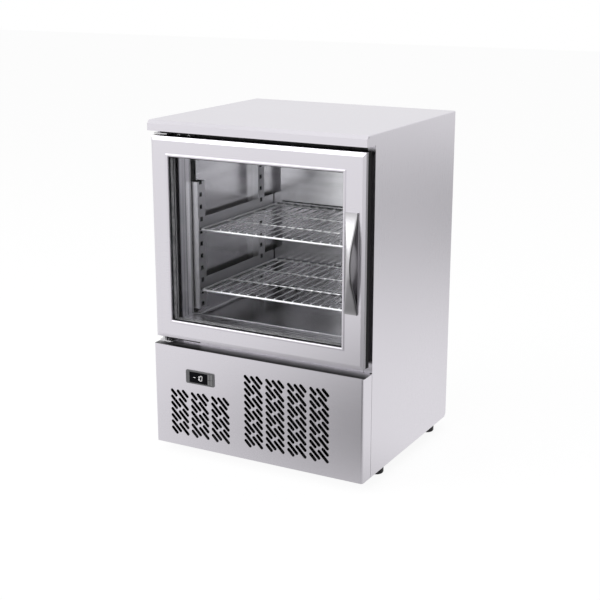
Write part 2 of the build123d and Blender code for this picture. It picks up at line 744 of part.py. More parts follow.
def foam_insulation():
    """One block of foam round the liner, open at the front, with chases for pipes and drain."""
    front = body_front + FRAME_SHEET
    foam = block(-inner_half, inner_half, front, back_inside, cover_top, case_top - CASE_SHEET)
    for side in (-1, 1):
        corner = (side * frame_half, side * inner_half)
        foam -= block(corner[0], corner[1], front - CUT, body_front + CASE_SHEET, cover_top - CUT, nose_bottom)
    skin = cavity_half + LINER_SHEET
    foam -= block(-skin, skin, liner_front, cavity_back + LINER_SHEET, cavity_floor - LINER_SHEET, cavity_top + LINER_SHEET)
    wide = cavity_half + BREAK_THICKNESS
    foam -= block(-wide, wide, jamb_back, liner_front, cavity_floor - LINER_SHEET, cavity_top + LINER_SHEET)
    throat = cavity_half + FRAME_SHEET
    foam -= block(-throat, throat, front - CUT, jamb_back, sill_top - FRAME_SHEET, head_bottom + FRAME_SHEET)
    for x in (capillary_x, suction_x, drain_x):
        foam -= chase(x, cover_top - CUT, last_evaporator_tube + CHASE_HALF_WIDTH)
    for hole in pipe_holes():
        foam -= hole
    for x, z in hinge_screw_places() + plug_places():
        foam -= rod((x, front - CUT, z), (x, body_front + SCREW_LENGTH, z), SCREW_RADIUS + SCREW_CLEARANCE)
    return foam


def compartment_roof():
    """Sheet under the foam, over the machine compartment, notched for the pipes."""
    rear = back_inside
    plate = block(-inner_half, inner_half, body_front + CASE_SHEET, rear, cover_top - LINER_SHEET, cover_top)
    for x in (capillary_x, suction_x, drain_x):
        plate -= chase(x, cover_top - CUT, cover_top + CUT)
    return plate


def liner_side(side):
    """Polished side wall of the storage space."""
    x = side * cavity_half
    low = cavity_floor + COVE_UPSTAND
    return block(x, x + side * LINER_SHEET, liner_front, cavity_back + LINER_SHEET, low, cavity_top)


def liner_back():
    """Polished back wall with holes for the pipes and the drain."""
    low = cavity_floor + COVE_UPSTAND
    wall = block(-cavity_half, cavity_half, cavity_back, cavity_back + LINER_SHEET, low, cavity_top)
    for hole in pipe_holes():
        wall -= hole
    return wall


def liner_ceiling():
    """Ceiling sheet resting on the walls."""
    reach = cavity_half + LINER_SHEET
    return block(-reach, reach, jamb_back, cavity_back + LINER_SHEET, cavity_top, cavity_top + LINER_SHEET)


def liner_floor():
    """Floor pan with coved side and back edges and a front edge that rises to the sill."""
    outer_x = cavity_half + LINER_SHEET
    outer_y = cavity_back + LINER_SHEET
    high = cavity_floor + COVE_UPSTAND
    pan = block(-outer_x, outer_x, jamb_back, outer_y, cavity_floor - LINER_SHEET, high)
    low_edges = pan.edges().group_by(Axis.Z)[0]
    coved = low_edges.filter_by(Axis.Y) + low_edges.filter_by(Axis.X).sort_by(Axis.Y)[-1:]
    pan = fillet(coved, FLOOR_COVE + LINER_SHEET)
    hollow = block(-cavity_half, cavity_half, jamb_back + LINER_SHEET, cavity_back, cavity_floor, high + FLOOR_COVE)
    low_edges = hollow.edges().group_by(Axis.Z)[0]
    coved = low_edges.filter_by(Axis.Y) + low_edges.filter_by(Axis.X).sort_by(Axis.Y)[-1:]
    pan -= fillet(coved, FLOOR_COVE)
    rise = block(-cavity_half, cavity_half, jamb_back, jamb_back + LINER_SHEET, high - CUT, sill_top)
    return pan + rise


def opening_frame():
    """Folded frame round the body's mouth: a flat flange, four jambs and a hemmed back edge."""
    flange = ring((-frame_half, frame_half, frame_bottom, nose_bottom), mouth_outline, body_front, body_front + FRAME_SHEET)
    jambs = ring(grown(mouth_outline, FRAME_SHEET), mouth_outline, body_front, jamb_back)
    hem_front = jamb_back - HEM_DEPTH
    hem = ring(mouth_outline, grown(mouth_outline, -HEM_RISE), hem_front, jamb_back)
    frame = flange + jambs + hem
    for x, z in hinge_screw_places() + plug_places():
        frame -= rod((x, body_front - CUT, z), (x, body_front + CUT, z), SCREW_RADIUS + SCREW_CLEARANCE)
    return frame


def thermal_break_strips():
    """A black plastic strip on each side wall, between the jamb and the liner."""
    strips = []
    for side in (-1, 1):
        x = side * cavity_half
        low = cavity_floor + COVE_UPSTAND
        strips.append(block(x, x + side * BREAK_THICKNESS, jamb_back, liner_front, low, cavity_top))
    return strips


def slot_height(number):
    """Height of a pilaster slot, counted from 0 at the bottom."""
    return pilaster_bottom + LOWEST_SLOT_RISE + number * SLOT_PITCH


def pilaster_pair(side):
    """Front and rear slotted channel on one side wall, open towards the wall."""
    pair = []
    top = pilaster_top
    for y in (pilaster_front_y, pilaster_rear_y):
        channel = block(pilaster_face, cavity_half, y, y + PILASTER_WIDTH, pilaster_bottom, top)
        channel -= block(
            pilaster_face + PILASTER_SHEET,
            cavity_half + CUT,
            y + PILASTER_SHEET,
            y + PILASTER_WIDTH - PILASTER_SHEET,
            pilaster_bottom - CUT,
            top + CUT,
        )
        slots = []
        count = int((pilaster_top - pilaster_bottom - 2 * LOWEST_SLOT_RISE) / SLOT_PITCH) + 1
        for number in range(count):
            z = slot_height(number)
            y_mid = y + SLOT_FROM_EDGE
            half_slot = SLOT_WIDTH / 2
            slots.append(
                block(
                    pilaster_face - CUT,
                    pilaster_face + PILASTER_SHEET + CUT,
                    y_mid - half_slot,
                    y_mid + half_slot,
                    z - SLOT_HEIGHT / 2,
                    z + SLOT_HEIGHT / 2,
                )
            )
        channel -= slots
        pair.append(channel if side > 0 else mirror(channel, about=Plane.YZ))
    return pair


def runner_bottom(slot_number):
    """Underside of a runner that hooks into the given slot."""
    return slot_height(slot_number) + RUNNER_HOOK_DROP - RUNNER_HEIGHT


def shelf_rise(slot_number):
    """Height of a shelf's frame wire when its runner hooks into the given slot."""
    return runner_bottom(slot_number) + RUNNER_SHEET + SHELF_REST_CLEARANCE + SHELF_FRAME_RADIUS


def upper_shelf_slot():
    """The highest slot that keeps a whole shelf under the evaporator's drip tray."""
    room = evaporator_bottom - DRIP_TRAY_SHOW - SHELF_UNDER_TRAY - SHELF_FRAME_RADIUS - shelf_rise(0)
    return int(room / SLOT_PITCH)


def shelf_runners():
    """Angle runners hooked into the pilasters, two for each shelf."""
    runners = []
    front = pilaster_front_y + 1
    rear = cavity_back - RUNNER_END_GAP
    for slot_number in (LOWER_SHELF_SLOT, upper_shelf_slot()):
        low = runner_bottom(slot_number)
        high = low + RUNNER_HEIGHT
        runner = block(runner_face, pilaster_face, front, rear, low, high)
        runner += block(runner_face - RUNNER_FLANGE, runner_face, front, rear, low, low + RUNNER_SHEET)
        for y in (pilaster_front_y + SLOT_FROM_EDGE, pilaster_rear_y + SLOT_FROM_EDGE):
            z = slot_height(slot_number)
            runner += block(
                pilaster_face,
                pilaster_face + RUNNER_HOOK_LENGTH,
                y - RUNNER_HOOK_WIDTH / 2,
                y + RUNNER_HOOK_WIDTH / 2,
                z - RUNNER_HOOK_HEIGHT / 2,
                z + RUNNER_HOOK_HEIGHT / 2,
            )
        runners.append(runner)
        runners.append(mirror(runner, about=Plane.YZ))
    return runners


def wire_shelf(slot_number):
    """Welded shelf: a round frame wire, thin wires front to back and cross wires under them."""
    z = shelf_rise(slot_number)
    x = shelf_half - SHELF_FRAME_RADIUS
    y0 = shelf_front + SHELF_FRAME_RADIUS
    y1 = shelf_back - SHELF_FRAME_RADIUS
    outline = Pos(0, (y0 + y1) / 2, z) * RectangleRounded(2 * x, y1 - y0, SHELF_CORNER_RADIUS)
    path = outline.face().outer_wire()
    section = Plane(origin=path @ 0, z_dir=path % 0) * Circle(SHELF_FRAME_RADIUS)
    shelf = sweep(section, path=path)
    wire_z = z + SHELF_FRAME_RADIUS + SHELF_WIRE_RADIUS - SHELF_WELD_SINK
    cross_z = wire_z - SHELF_WIRE_RADIUS - SHELF_CROSS_RADIUS + SHELF_WELD_SINK
    wires = []
    count = int((x - SHELF_CORNER_RADIUS / 2) / SHELF_WIRE_PITCH)
    for number in range(-count, count + 1):
        place = number * SHELF_WIRE_PITCH
        wires.append(rod((place, y0 - 1, wire_z), (place, y1 + 1, wire_z), SHELF_WIRE_RADIUS))
    for number in range(SHELF_CROSS_COUNT):
        place = y0 + (y1 - y0) * (number + 1) / (SHELF_CROSS_COUNT + 1)
        wires.append(rod((-x, place, cross_z), (x, place, cross_z), SHELF_CROSS_RADIUS))
    return shelf + wires


def vent_slot(x, z, run):
    """One diagonal slot that starts at (x, z) and falls to the right by its run."""
    length = run * 2**0.5
    slot = Pos(x + run / 2, z - run / 2) * Rot(0, 0, -45) * SlotCenterToCenter(length, VENT_WIDTH)
    return extrude(Plane.XZ * slot, amount=CUT, both=True)


def vent_column(x, z_top):
    """The slots of one column: short and long ones by turns, meshed in three rows."""
    slots = []
    rows = int((z_top - case_bottom - VENT_LOWEST_START) / VENT_ROW_PITCH) + 1
    slots.append(vent_slot(x + VENT_TOP_LONG_SHIFT, z_top, VENT_LONG_RUN))
    slots.append(vent_slot(x + VENT_RIGHT_SHIFT, z_top + VENT_RIGHT_RISE, VENT_SHORT_RUN))
    for row in range(rows):
        z = z_top - row * VENT_ROW_PITCH
        slots.append(vent_slot(x, z, VENT_SHORT_RUN if row % 2 == 0 else VENT_LONG_RUN))
        if row % 2 == 1:
            slots.append(vent_slot(x + VENT_MIDDLE_SHIFT, z - VENT_MIDDLE_DROP, VENT_LONG_RUN))
        if row % 2 == 1 and row > 1:
            slots.append(vent_slot(x + VENT_RIGHT_SHIFT, z + VENT_RIGHT_RISE, VENT_SHORT_RUN))
    return slots


def front_cover():
    """Folded cover with rounded upright edges, two groups of slots and the controller's cut-out."""
    cover_back = body_front - COVER_SEAM
    outer = block(-half_width, half_width, 0, cover_back, case_bottom, cover_top)
    upright = outer.edges().filter_by(Axis.Z).group_by(Axis.Y)[0]
    outer = fillet(upright, COVER_BEND_RADIUS)
    inner = block(-inner_half, inner_half, COVER_SHEET, body_front + CUT, tray_bottom, cover_top - COVER_SHEET)
    upright = inner.edges().filter_by(Axis.Z).group_by(Axis.Y)[0]
    inner = fillet(upright, COVER_BEND_RADIUS - COVER_SHEET)
    cover = outer - inner
    reach = half_width - BOTTOM_RETURN - 1
    cover += block(-reach, reach, cover_back - 1, body_front + COVER_BOTTOM_FLANGE, case_bottom, tray_bottom)
    slots = []
    for column in range(VENT_LEFT_COLUMNS):
        slots += vent_column(-half_width + VENT_LEFT_START + column * VENT_LEFT_PITCH, cover_top - VENT_LEFT_DROP)
    for column in range(VENT_RIGHT_COLUMNS):
        slots += vent_column(-half_width + VENT_RIGHT_START + column * VENT_RIGHT_PITCH, cover_top - VENT_RIGHT_DROP)
    cover -= slots
    x0, x1, z0, z1 = grown(housing_outline(), HOUSING_CLEARANCE)
    cover -= block(x0, x1, -CUT, CUT, z0, z1)
    for side in (-1, 1):
        x = side * cover_screw_x
        y = body_front + COVER_BOTTOM_FLANGE / 2
        cover -= rod((x, y, case_bottom - CUT), (x, y, tray_bottom + CUT), SCREW_RADIUS + SCREW_CLEARANCE)
    return cover


def bezel_outline():
    """The controller's bezel on the front as (x0, x1, z0, z1)."""
    x0 = -half_width + BEZEL_FROM_LEFT
    z1 = cover_top - BEZEL_BELOW_COVER_TOP
    return (x0, x0 + BEZEL_WIDTH, z1 - BEZEL_HEIGHT, z1)


def housing_outline():
    """The controller's body behind the bezel as (x0, x1, z0, z1)."""
    x0, x1, z0, z1 = bezel_outline()
    x = (x0 + x1) / 2
    z = (z0 + z1) / 2
    return (x - HOUSING_WIDTH / 2, x + HOUSING_WIDTH / 2, z - HOUSING_HEIGHT / 2, z + HOUSING_HEIGHT / 2)


def screen_outline():
    """The controller's screen as (x0, x1, z0, z1)."""
    x0, _, z0, z1 = bezel_outline()
    left = x0 + SCREEN_FROM_BEZEL_LEFT
    middle = (z0 + z1) / 2
    return (left, left + SCREEN_WIDTH, middle - SCREEN_HEIGHT / 2, middle + SCREEN_HEIGHT / 2)


def key_places():
    """The four keys as (name, x, z)."""
    _, x1, z0, z1 = bezel_outline()
    x = x1 - KEY_FROM_BEZEL_RIGHT
    z = (z0 + z1) / 2
    places = []
    for name, across, up in (("up", -1, 1), ("set", 1, 1), ("down", -1, -1), ("defrost", 1, -1)):
        places.append((f"key_{name}", x + across * KEY_PITCH_X / 2, z + up * KEY_PITCH_Z / 2))
    return places


def key_block(x, z, spare, y0, y1):
    """The space of a key, grown by spare on each side."""
    w = KEY_WIDTH / 2 + spare
    h = KEY_HEIGHT / 2 + spare
    return block(x - w, x + w, y0, y1, z - h, z + h)


def controller_housing():
    """Moulded controller case with its bezel, the screen's seat and a pocket for each key."""
    x0, x1, z0, z1 = bezel_outline()
    bezel = block(x0, x1, -BEZEL_STAND, 0, z0, z1)
    bezel = fillet(bezel.edges().filter_by(Axis.Y), BEZEL_RADIUS)
    bezel = fillet(bezel.edges().group_by(Axis.Y)[0], BEZEL_STAND * 0.4)
    x0, x1, z0, z1 = housing_outline()
    case = bezel + block(x0, x1, 0, HOUSING_DEPTH, z0, z1)
    x0, x1, z0, z1 = screen_outline()
    case -= block(x0, x1, -BEZEL_STAND - CUT, -BEZEL_STAND - SCREEN_STAND + SCREEN_THICKNESS, z0, z1)
    for _, x, z in key_places():
        deep = KEY_DEPTH - BEZEL_STAND - KEY_STAND + KEY_TRAVEL + KEY_CLEARANCE
        case -= key_block(x, z, KEY_CLEARANCE, -BEZEL_STAND - CUT, deep)
    return case


def controller_screen():
    """Dark window of the controller."""
    x0, x1, z0, z1 = screen_outline()
    front = -BEZEL_STAND - SCREEN_STAND
    return block(x0, x1, front, front + SCREEN_THICKNESS, z0, z1)


def key(x, z):
    """One push key with softened front edges."""
    front = -BEZEL_STAND - KEY_STAND
    cap = key_block(x, z, 0, front, front + KEY_DEPTH)
    return fillet(cap.edges().group_by(Axis.Y)[0], KEY_STAND / 2)


def top_leaf():
    """Underside and top of the upper hinge leaf."""
    return (door_top + TOP_LEAF_GAP, door_top + TOP_LEAF_GAP + BRACKET_SHEET)


def bottom_leaf():
    """Underside and top of the lower hinge leaf."""
    return (door_bottom - BOTTOM_LEAF_GAP - BRACKET_SHEET, door_bottom - BOTTOM_LEAF_GAP)


def bracket_spans():
    """Lowest and highest edge of the upper and the lower bracket's upright."""
    top_low = door_top - BRACKET_BEHIND_DOOR
    bottom_low = bottom_leaf()[0] - 1
    return {"top": (top_low, top_low + BRACKET_HEIGHT), "bottom": (bottom_low, bottom_low + BRACKET_HEIGHT + 1)}


def hinge_screw_places():
    """Hinge screws on the body's front as (x, z), upper hinge first."""
    spans = bracket_spans()
    places = []
    for offset_x in HINGE_SCREW_OFFSETS:
        places.append((-half_width + offset_x, spans["top"][0] + SCREW_EDGE_MARGIN))
    for offset_x in (BOTTOM_EXTRA_SCREW_OFFSET,) + HINGE_SCREW_OFFSETS:
        places.append((-half_width + offset_x, spans["bottom"][1] - SCREW_EDGE_MARGIN - BRACKET_SHEET / 2))
    return places


def plug_places():
    """Unused hinge holes on the other side, as (x, z)."""
    return [(-x, z) for x, z in hinge_screw_places()]


def hinge_bracket(leaf, span, screws, pin_end):
    """Steel bracket: an upright on the body, a leaf under or over the door, and its riveted pin."""
    x0 = -half_width + BRACKET_SIDE_INSET
    y0 = body_front - BRACKET_SHEET
    bracket = block(x0, x0 + BRACKET_LENGTH, y0, body_front, span[0], span[1])
    bracket += block(x0, x0 + LEAF_LENGTH, LEAF_FRONT, body_front, leaf[0], leaf[1])
    corners = bracket.edges().filter_by(Axis.Z).group_by(Axis.Y)[0]
    bracket = fillet(corners, BRACKET_SIDE_INSET)
    bracket += rod((pin_x, pin_y, (leaf[0] + leaf[1]) / 2), (pin_x, pin_y, pin_end), PIN_RADIUS)
    for x, z in screws:
        bracket -= rod((x, y0 - CUT, z), (x, body_front + CUT, z), SCREW_RADIUS + SCREW_CLEARANCE)
    return bracket


def hinge_bracket_top():
    """Upper bracket with its pin pointing down into the door."""
    return hinge_bracket(top_leaf(), bracket_spans()["top"], hinge_screw_places()[:2], door_top - PIN_IN_BUSH)


def hinge_bracket_bottom():
    """Lower bracket with its pin pointing up into the door, over a shoulder that carries the door."""
    screw_places = hinge_screw_places()[2:]
    bracket = hinge_bracket(bottom_leaf(), bracket_spans()["bottom"], screw_places, door_bottom + PIN_IN_BUSH)
    shoulder_top = door_bottom - BUSH_COLLAR_HEIGHT - DOOR_REST_GAP
    shoulder_start = (pin_x, pin_y, bottom_leaf()[1] - BRACKET_SHEET / 2)
    return bracket + rod(shoulder_start, (pin_x, pin_y, shoulder_top), PIN_SHOULDER_RADIUS)


def screw(x, y, z, direction):
    """Round-head screw whose head seats at (x, y, z) and whose shank runs along the direction."""
    shank = Cylinder(SCREW_RADIUS, SCREW_LENGTH, align=(Align.CENTER, Align.CENTER, Align.MIN))
    head = Pos(0, 0, -SCREW_HEAD_HEIGHT) * Cylinder(
        SCREW_HEAD_RADIUS, SCREW_HEAD_HEIGHT, align=(Align.CENTER, Align.CENTER, Align.MIN)
    )
    head = fillet(head.edges().group_by(Axis.Z)[0], SCREW_HEAD_HEIGHT * 0.6)
    socket = Pos(0, 0, -SCREW_HEAD_HEIGHT - CUT) * extrude(RegularPolygon(SCREW_RADIUS * 0.7, 6), amount=CUT + 1.2)
    return Plane(origin=(x, y, z), z_dir=direction) * (head + shank - socket)


def screws():
    """All screws of the case: five in the hinges and two under the front cover."""
    group = []
    for x, z in hinge_screw_places():
        group.append(screw(x, body_front - BRACKET_SHEET, z, (0, 1, 0)))
    for side in (-1, 1):
        y = body_front + COVER_BOTTOM_FLANGE / 2
        group.append(screw(side * cover_screw_x, y, case_bottom, (0, 0, 1)))
    return group


def hinge_hole_plugs():
    """Black plastic plugs in the hinge holes of the side that isn't used."""
    plugs = []
    for x, z in plug_places():
        plug = rod((x, body_front - 1.2, z), (x, body_front, z), SCREW_HEAD_RADIUS * 0.9)
        plugs.append(plug + rod((x, body_front - 1, z), (x, body_front + FRAME_SHEET, z), SCREW_RADIUS))
    return plugs


def door_shell(shrink, front):
    """The outer form of the door's skin: a block with a bevel all round its front edge."""
    outline = grown(door_outline, -shrink)
    x0, x1, z0, z1 = outline
    slope_start = front + DOOR_BEVEL_DEPTH
    face = (x0 + DOOR_BEVEL_SIDE, x1 - DOOR_BEVEL_SIDE, z0 + DOOR_BEVEL_END, z1 - DOOR_BEVEL_END)
    form = frustum(outline, face, slope_start, front)
    return form + block(x0, x1, slope_start, DOOR_SKIN_DEPTH, z0, z1)


def pin_hole(radius, z_low, z_high):
    """A round space on the hinge axis."""
    return rod((pin_x, pin_y, z_low), (pin_x, pin_y, z_high), radius)


def handle_stud_places():
    """Handle studs as (x, z)."""
    x, z0, z1 = handle_place()
    middle = x + HANDLE_WIDTH / 2
    return [(middle, z0 + HANDLE_STUD_INSET), (middle, z1 - HANDLE_STUD_INSET)]


def glass_bead():
    """Rounded bead that stands on the door's face all round the glass, in flat steps."""
    steps = []
    for degrees in BEAD_ANGLES:
        angle = degrees * pi / 180
        steps.append((BEAD_WIDTH / 2 * (1 - cos(angle)), -BEAD_HEIGHT * sin(angle)))
    layers = []
    for (inset, y), (next_inset, next_y) in zip(steps, steps[1:]):
        outer = frustum(
            grown(glass_outline, BEAD_WIDTH - inset), grown(glass_outline, BEAD_WIDTH - next_inset), y, next_y
        )
        inner = frustum(grown(glass_outline, inset), grown(glass_outline, next_inset), y, next_y)
        layers.append(outer - inner)
    return layers


def door_frame():
    """Stainless door skin: a bevelled flat face with a rounded bead and a lip round the glass."""
    skin = door_shell(0, 0) - door_shell(DOOR_SHEET, DOOR_SHEET)
    x0, x1, z0, z1 = grown(glass_outline, DOOR_SHEET)
    skin += block(x0, x1, 0, lip_back, z0, z1)
    skin += glass_bead()
    x0, x1, z0, z1 = glass_outline
    skin -= block(x0, x1, -CUT, lip_back + CUT, z0, z1)
    for z in (door_bottom, door_top):
        skin -= pin_hole(BUSH_RADIUS, z - CUT, z + CUT)
    for x, z in handle_stud_places():
        skin -= rod((x, -CUT, z), (x, CUT, z), HANDLE_STUD_RADIUS + SCREW_CLEARANCE)
    return skin


def door_back_frame():
    """Moulded inner frame behind the skin: it closes the door and holds the glass unit and the bushes."""
    inner = grown(door_outline, -DOOR_SHEET)
    body = block(inner[0], inner[1], DOOR_SHEET + DOOR_BEVEL_DEPTH, DOOR_THICKNESS, inner[2], inner[3])
    outer = door_outline
    body += block(outer[0], outer[1], DOOR_SKIN_DEPTH, DOOR_THICKNESS, outer[2], outer[3])
    pocket = grown(glass_outline, PANE_OVERLAP + POCKET_CLEARANCE)
    body -= block(pocket[0], pocket[1], 0, pane_back, pocket[2], pocket[3])
    window = glass_outline
    body -= block(window[0], window[1], 0, DOOR_THICKNESS + CUT, window[2], window[3])
    body -= pin_hole(BUSH_RADIUS, door_bottom - CUT, door_bottom + BUSH_LENGTH)
    body -= pin_hole(BUSH_RADIUS, door_top - BUSH_LENGTH, door_top + CUT)
    for x, z in handle_stud_places():
        body -= rod((x, 0, z), (x, HANDLE_STUD_LENGTH + 2, z), HANDLE_STUD_RADIUS + SCREW_CLEARANCE)
    return body


def pane(front):
    """One glass pane."""
    x0, x1, z0, z1 = grown(glass_outline, PANE_OVERLAP)
    return block(x0, x1, front, front + PANE_THICKNESS, z0, z1)


def glass_spacer():
    """Spacer bar between the two panes."""
    front = pane_front + PANE_THICKNESS
    return ring(grown(glass_outline, SPACER_WIDTH), glass_outline, front, front + PANE_GAP)


def glazing_seal():
    """Black seal between the door's lip and the outer pane."""
    return ring(grown(glass_outline, PANE_OVERLAP), grown(glass_outline, -GLAZING_SEAL_SHOW), lip_back, pane_front)


def door_gasket():
    """Soft seal on the back of the door, with both edges drawn in towards its sealing face."""
    x0, x1, z0, z1 = door_outline
    end = GASKET_END_INSET
    outline = (x0 + GASKET_LEFT_INSET, x1 - GASKET_RIGHT_INSET, z0 + end, z1 - end)
    face = body_front - GASKET_FACE_CLEARANCE
    outer = frustum(outline, grown(outline, -GASKET_LIP_TAPER), DOOR_THICKNESS, face)
    hole = grown(outline, -GASKET_BASE_WIDTH)
    return outer - frustum(hole, grown(hole, GASKET_LIP_TAPER), DOOR_THICKNESS, face)


def handle_place():
    """Left edge, bottom and top of the handle as (x, z0, z1)."""
    x1 = door_right - HANDLE_RIGHT_INSET
    z1 = door_top - HANDLE_TOP_DROP
    return (x1 - HANDLE_WIDTH, z1 - HANDLE_HEIGHT, z1)


def blade_bow(part):
    """How far the blade bows outwards, and its reach across, at a share of the handle's height."""
    share = abs(sin(pi * part)) ** HANDLE_BOW_POWER
    return (HANDLE_BOW * share, HANDLE_WIDTH - HANDLE_NARROWING * share)


def handle_section(x, z, part):
    """Cut through the plate and the blade as one filled form, at one height."""
    bow, reach = blade_bow(part)
    fold_y = -HANDLE_PLATE - HANDLE_BLADE
    right = x + HANDLE_WIDTH
    corners = [(x, 0, z), (right, 0, z), (right, -HANDLE_PLATE, z), (x + reach, fold_y - bow, z), (x, fold_y, z)]
    return make_face(Polyline(*corners, close=True))


def finger_gap_section(x, z, part):
    """Cut through the gap between the plate and the blade, running past the free edge."""
    bow, reach = blade_bow(part)
    length = (bow**2 + reach**2) ** 0.5
    near = x + HANDLE_BLADE
    far = x + HANDLE_WIDTH + CUT

    def blade_back(place):
        return -HANDLE_PLATE - HANDLE_BLADE + (HANDLE_BLADE * length - (place - x) * bow) / reach

    corners = [
        (near, -HANDLE_PLATE, z),
        (far, -HANDLE_PLATE, z),
        (far, blade_back(far), z),
        (near, blade_back(near), z),
    ]
    return make_face(Polyline(*corners, close=True))


def door_handle():
    """Handle folded from sheet: a plate on the door and a blade whose free edge bows outwards."""
    x, z0, z1 = handle_place()
    end = HANDLE_GAP_START / HANDLE_HEIGHT
    inner = [end + (1 - 2 * end) * number / (HANDLE_SECTIONS - 1) for number in range(HANDLE_SECTIONS)]
    form = loft([handle_section(x, z0 + part * HANDLE_HEIGHT, part) for part in [0] + inner + [1]], ruled=True)
    handle = form - loft([finger_gap_section(x, z0 + part * HANDLE_HEIGHT, part) for part in inner], ruled=True)
    for stud_x, stud_z in handle_stud_places():
        handle += rod((stud_x, -HANDLE_PLATE / 2, stud_z), (stud_x, HANDLE_STUD_LENGTH, stud_z), HANDLE_STUD_RADIUS)
    return handle


def hinge_bushes():
    """A collared plastic bush in the top and the bottom of the door."""
    bushes = []
    for edge, inward in ((door_bottom, 1), (door_top, -1)):
        bush = rod((pin_x, pin_y, edge), (pin_x, pin_y, edge + inward * BUSH_LENGTH), BUSH_RADIUS)
        bush += rod((pin_x, pin_y, edge - inward * BUSH_COLLAR_HEIGHT), (pin_x, pin_y, edge), BUSH_COLLAR_RADIUS)
        bore_end = edge + inward * (PIN_IN_BUSH + 1)
        bush -= rod((pin_x, pin_y, edge - inward * CUT), (pin_x, pin_y, bore_end), PIN_RADIUS + PIN_CLEARANCE)
        bushes.append(bush)
    return bushes


def condenser_coil():
    """Finned condenser standing on the base tray on its end plates."""
    tube_z = [coil_bottom + (number + 0.5) * condenser_tube_pitch for number in range(CONDENSER_TUBES)]
    top = coil_bottom + COIL_HEIGHT
    coil = finned_coil(coil_left, coil_right, coil_front, coil_back, coil_bottom, top, CONDENSER_FINS, tube_z, coil_mid_y)
    for x in (coil_left - END_PLATE, coil_right):
        coil += block(x, x + END_PLATE, coil_front, coil_back, tray_top, coil_bottom)
    return coil


def condenser_fan_shroud():
    """Sheet on the back of the condenser with a round lip round the fan."""
    top = coil_bottom + COIL_HEIGHT
    plate = block(coil_left - END_PLATE, coil_right + END_PLATE, coil_back, shroud_back, tray_top, top)
    hole = CONDENSER_FAN_RADIUS + CONDENSER_FAN_GAP
    axis = (coil_mid_x, coil_mid_z)
    plate += rod((axis[0], coil_back, axis[1]), (axis[0], shroud_back + SHROUD_LIP, axis[1]), hole + SHROUD_SHEET)
    return plate - rod((axis[0], coil_back - CUT, axis[1]), (axis[0], shroud_back + SHROUD_LIP + CUT, axis[1]), hole)


def condenser_fan_blades():
    """Five-bladed fan of the condenser."""
    wheel = fan(CONDENSER_FAN_RADIUS, condenser_fan_depth, CONDENSER_BLADE_CHORD, FAN_HUB_GAP + SHAFT_IN_MOTOR)
    return Pos(coil_mid_x, condenser_fan_front, coil_mid_z) * along_y(wheel)


def condenser_fan_motor():
    """Motor behind the condenser fan on a post that stands on the base tray."""
    body = Pos(coil_mid_x, condenser_motor_front, coil_mid_z) * along_y(
        motor(CONDENSER_MOTOR_RADIUS, CONDENSER_MOTOR_LENGTH)
    )
    y = condenser_motor_front + CONDENSER_MOTOR_LENGTH / 2
    half_post = MOTOR_POST_WIDTH / 2
    post = block(
        coil_mid_x - half_post,
        coil_mid_x + half_post,
        y - MOTOR_POST_DEPTH / 2 + SHAFT_IN_MOTOR / 2,
        y + MOTOR_POST_DEPTH / 2 + SHAFT_IN_MOTOR / 2,
        tray_top,
        coil_mid_z - CONDENSER_MOTOR_RADIUS / 2,
    )
    return body + post


def grommet_places():
    """The compressor's four grommets as (x, y)."""
    dx = FOOT_PLATE_LENGTH / 2 - GROMMET_INSET
    dy = FOOT_PLATE_WIDTH / 2 - GROMMET_INSET
    return [(compressor_x + sx * dx, compressor_y + sy * dy) for sx in (-1, 1) for sy in (-1, 1)]


def compressor():
    """Sealed compressor shell with a seam, a foot plate and two pipe bosses."""
    shell = Cylinder(COMPRESSOR_RADIUS, COMPRESSOR_HEIGHT, align=(Align.CENTER, Align.CENTER, Align.MIN))
    shell = fillet(shell.edges().filter_by(GeomType.CIRCLE), COMPRESSOR_DOME)
    shell += Pos(0, 0, COMPRESSOR_HEIGHT * 0.6) * Cylinder(COMPRESSOR_RADIUS + COMPRESSOR_SEAM, COMPRESSOR_SEAM)
    shell = Pos(compressor_x, compressor_y, compressor_bottom) * shell
    length = FOOT_PLATE_LENGTH / 2
    width = FOOT_PLATE_WIDTH / 2
    plate = block(
        compressor_x - length,
        compressor_x + length,
        compressor_y - width,
        compressor_y + width,
        plate_bottom,
        compressor_bottom,
    )
    shell += plate
    for x, y in grommet_places():
        shell -= rod((x, y, plate_bottom - CUT), (x, y, compressor_bottom + CUT), GROMMET_NECK_RADIUS)
    front_boss = (compressor_x + DISCHARGE_X_OFFSET, compressor_y - COMPRESSOR_RADIUS - BOSS_LENGTH)
    rear_boss = (suction_x, compressor_y + COMPRESSOR_RADIUS + BOSS_LENGTH)
    for x, y in (front_boss, rear_boss):
        shell += rod((x, compressor_y, boss_z), (x, y, boss_z), BOSS_RADIUS)
    return shell


def compressor_grommets():
    """Rubber grommets between the base tray and the compressor's foot plate."""
    group = []
    for x, y in grommet_places():
        grommet = rod((x, y, tray_top), (x, y, plate_bottom), GROMMET_RADIUS)
        group.append(grommet + rod((x, y, plate_bottom), (x, y, plate_bottom + GROMMET_NECK_HEIGHT), GROMMET_NECK_RADIUS))
    return group


def compressor_terminal_box():
    """Plastic box over the compressor's terminals, shaped to the round shell."""
    x = compressor_x + COMPRESSOR_RADIUS - COMPRESSOR_DOME / 2
    z = compressor_bottom + TERMINAL_BOX_RISE
    half_box = TERMINAL_BOX_WIDTH / 2
    box = block(
        x,
        x + TERMINAL_BOX_LENGTH + COMPRESSOR_DOME / 2,
        compressor_y - half_box,
        compressor_y + half_box,
        z,
        z + TERMINAL_BOX_HEIGHT,
    )
    reach = COMPRESSOR_RADIUS + COMPRESSOR_SEAM
    centre = (compressor_x, compressor_y)
    return box - rod((*centre, z - CUT), (*centre, z + TERMINAL_BOX_HEIGHT + CUT), reach)


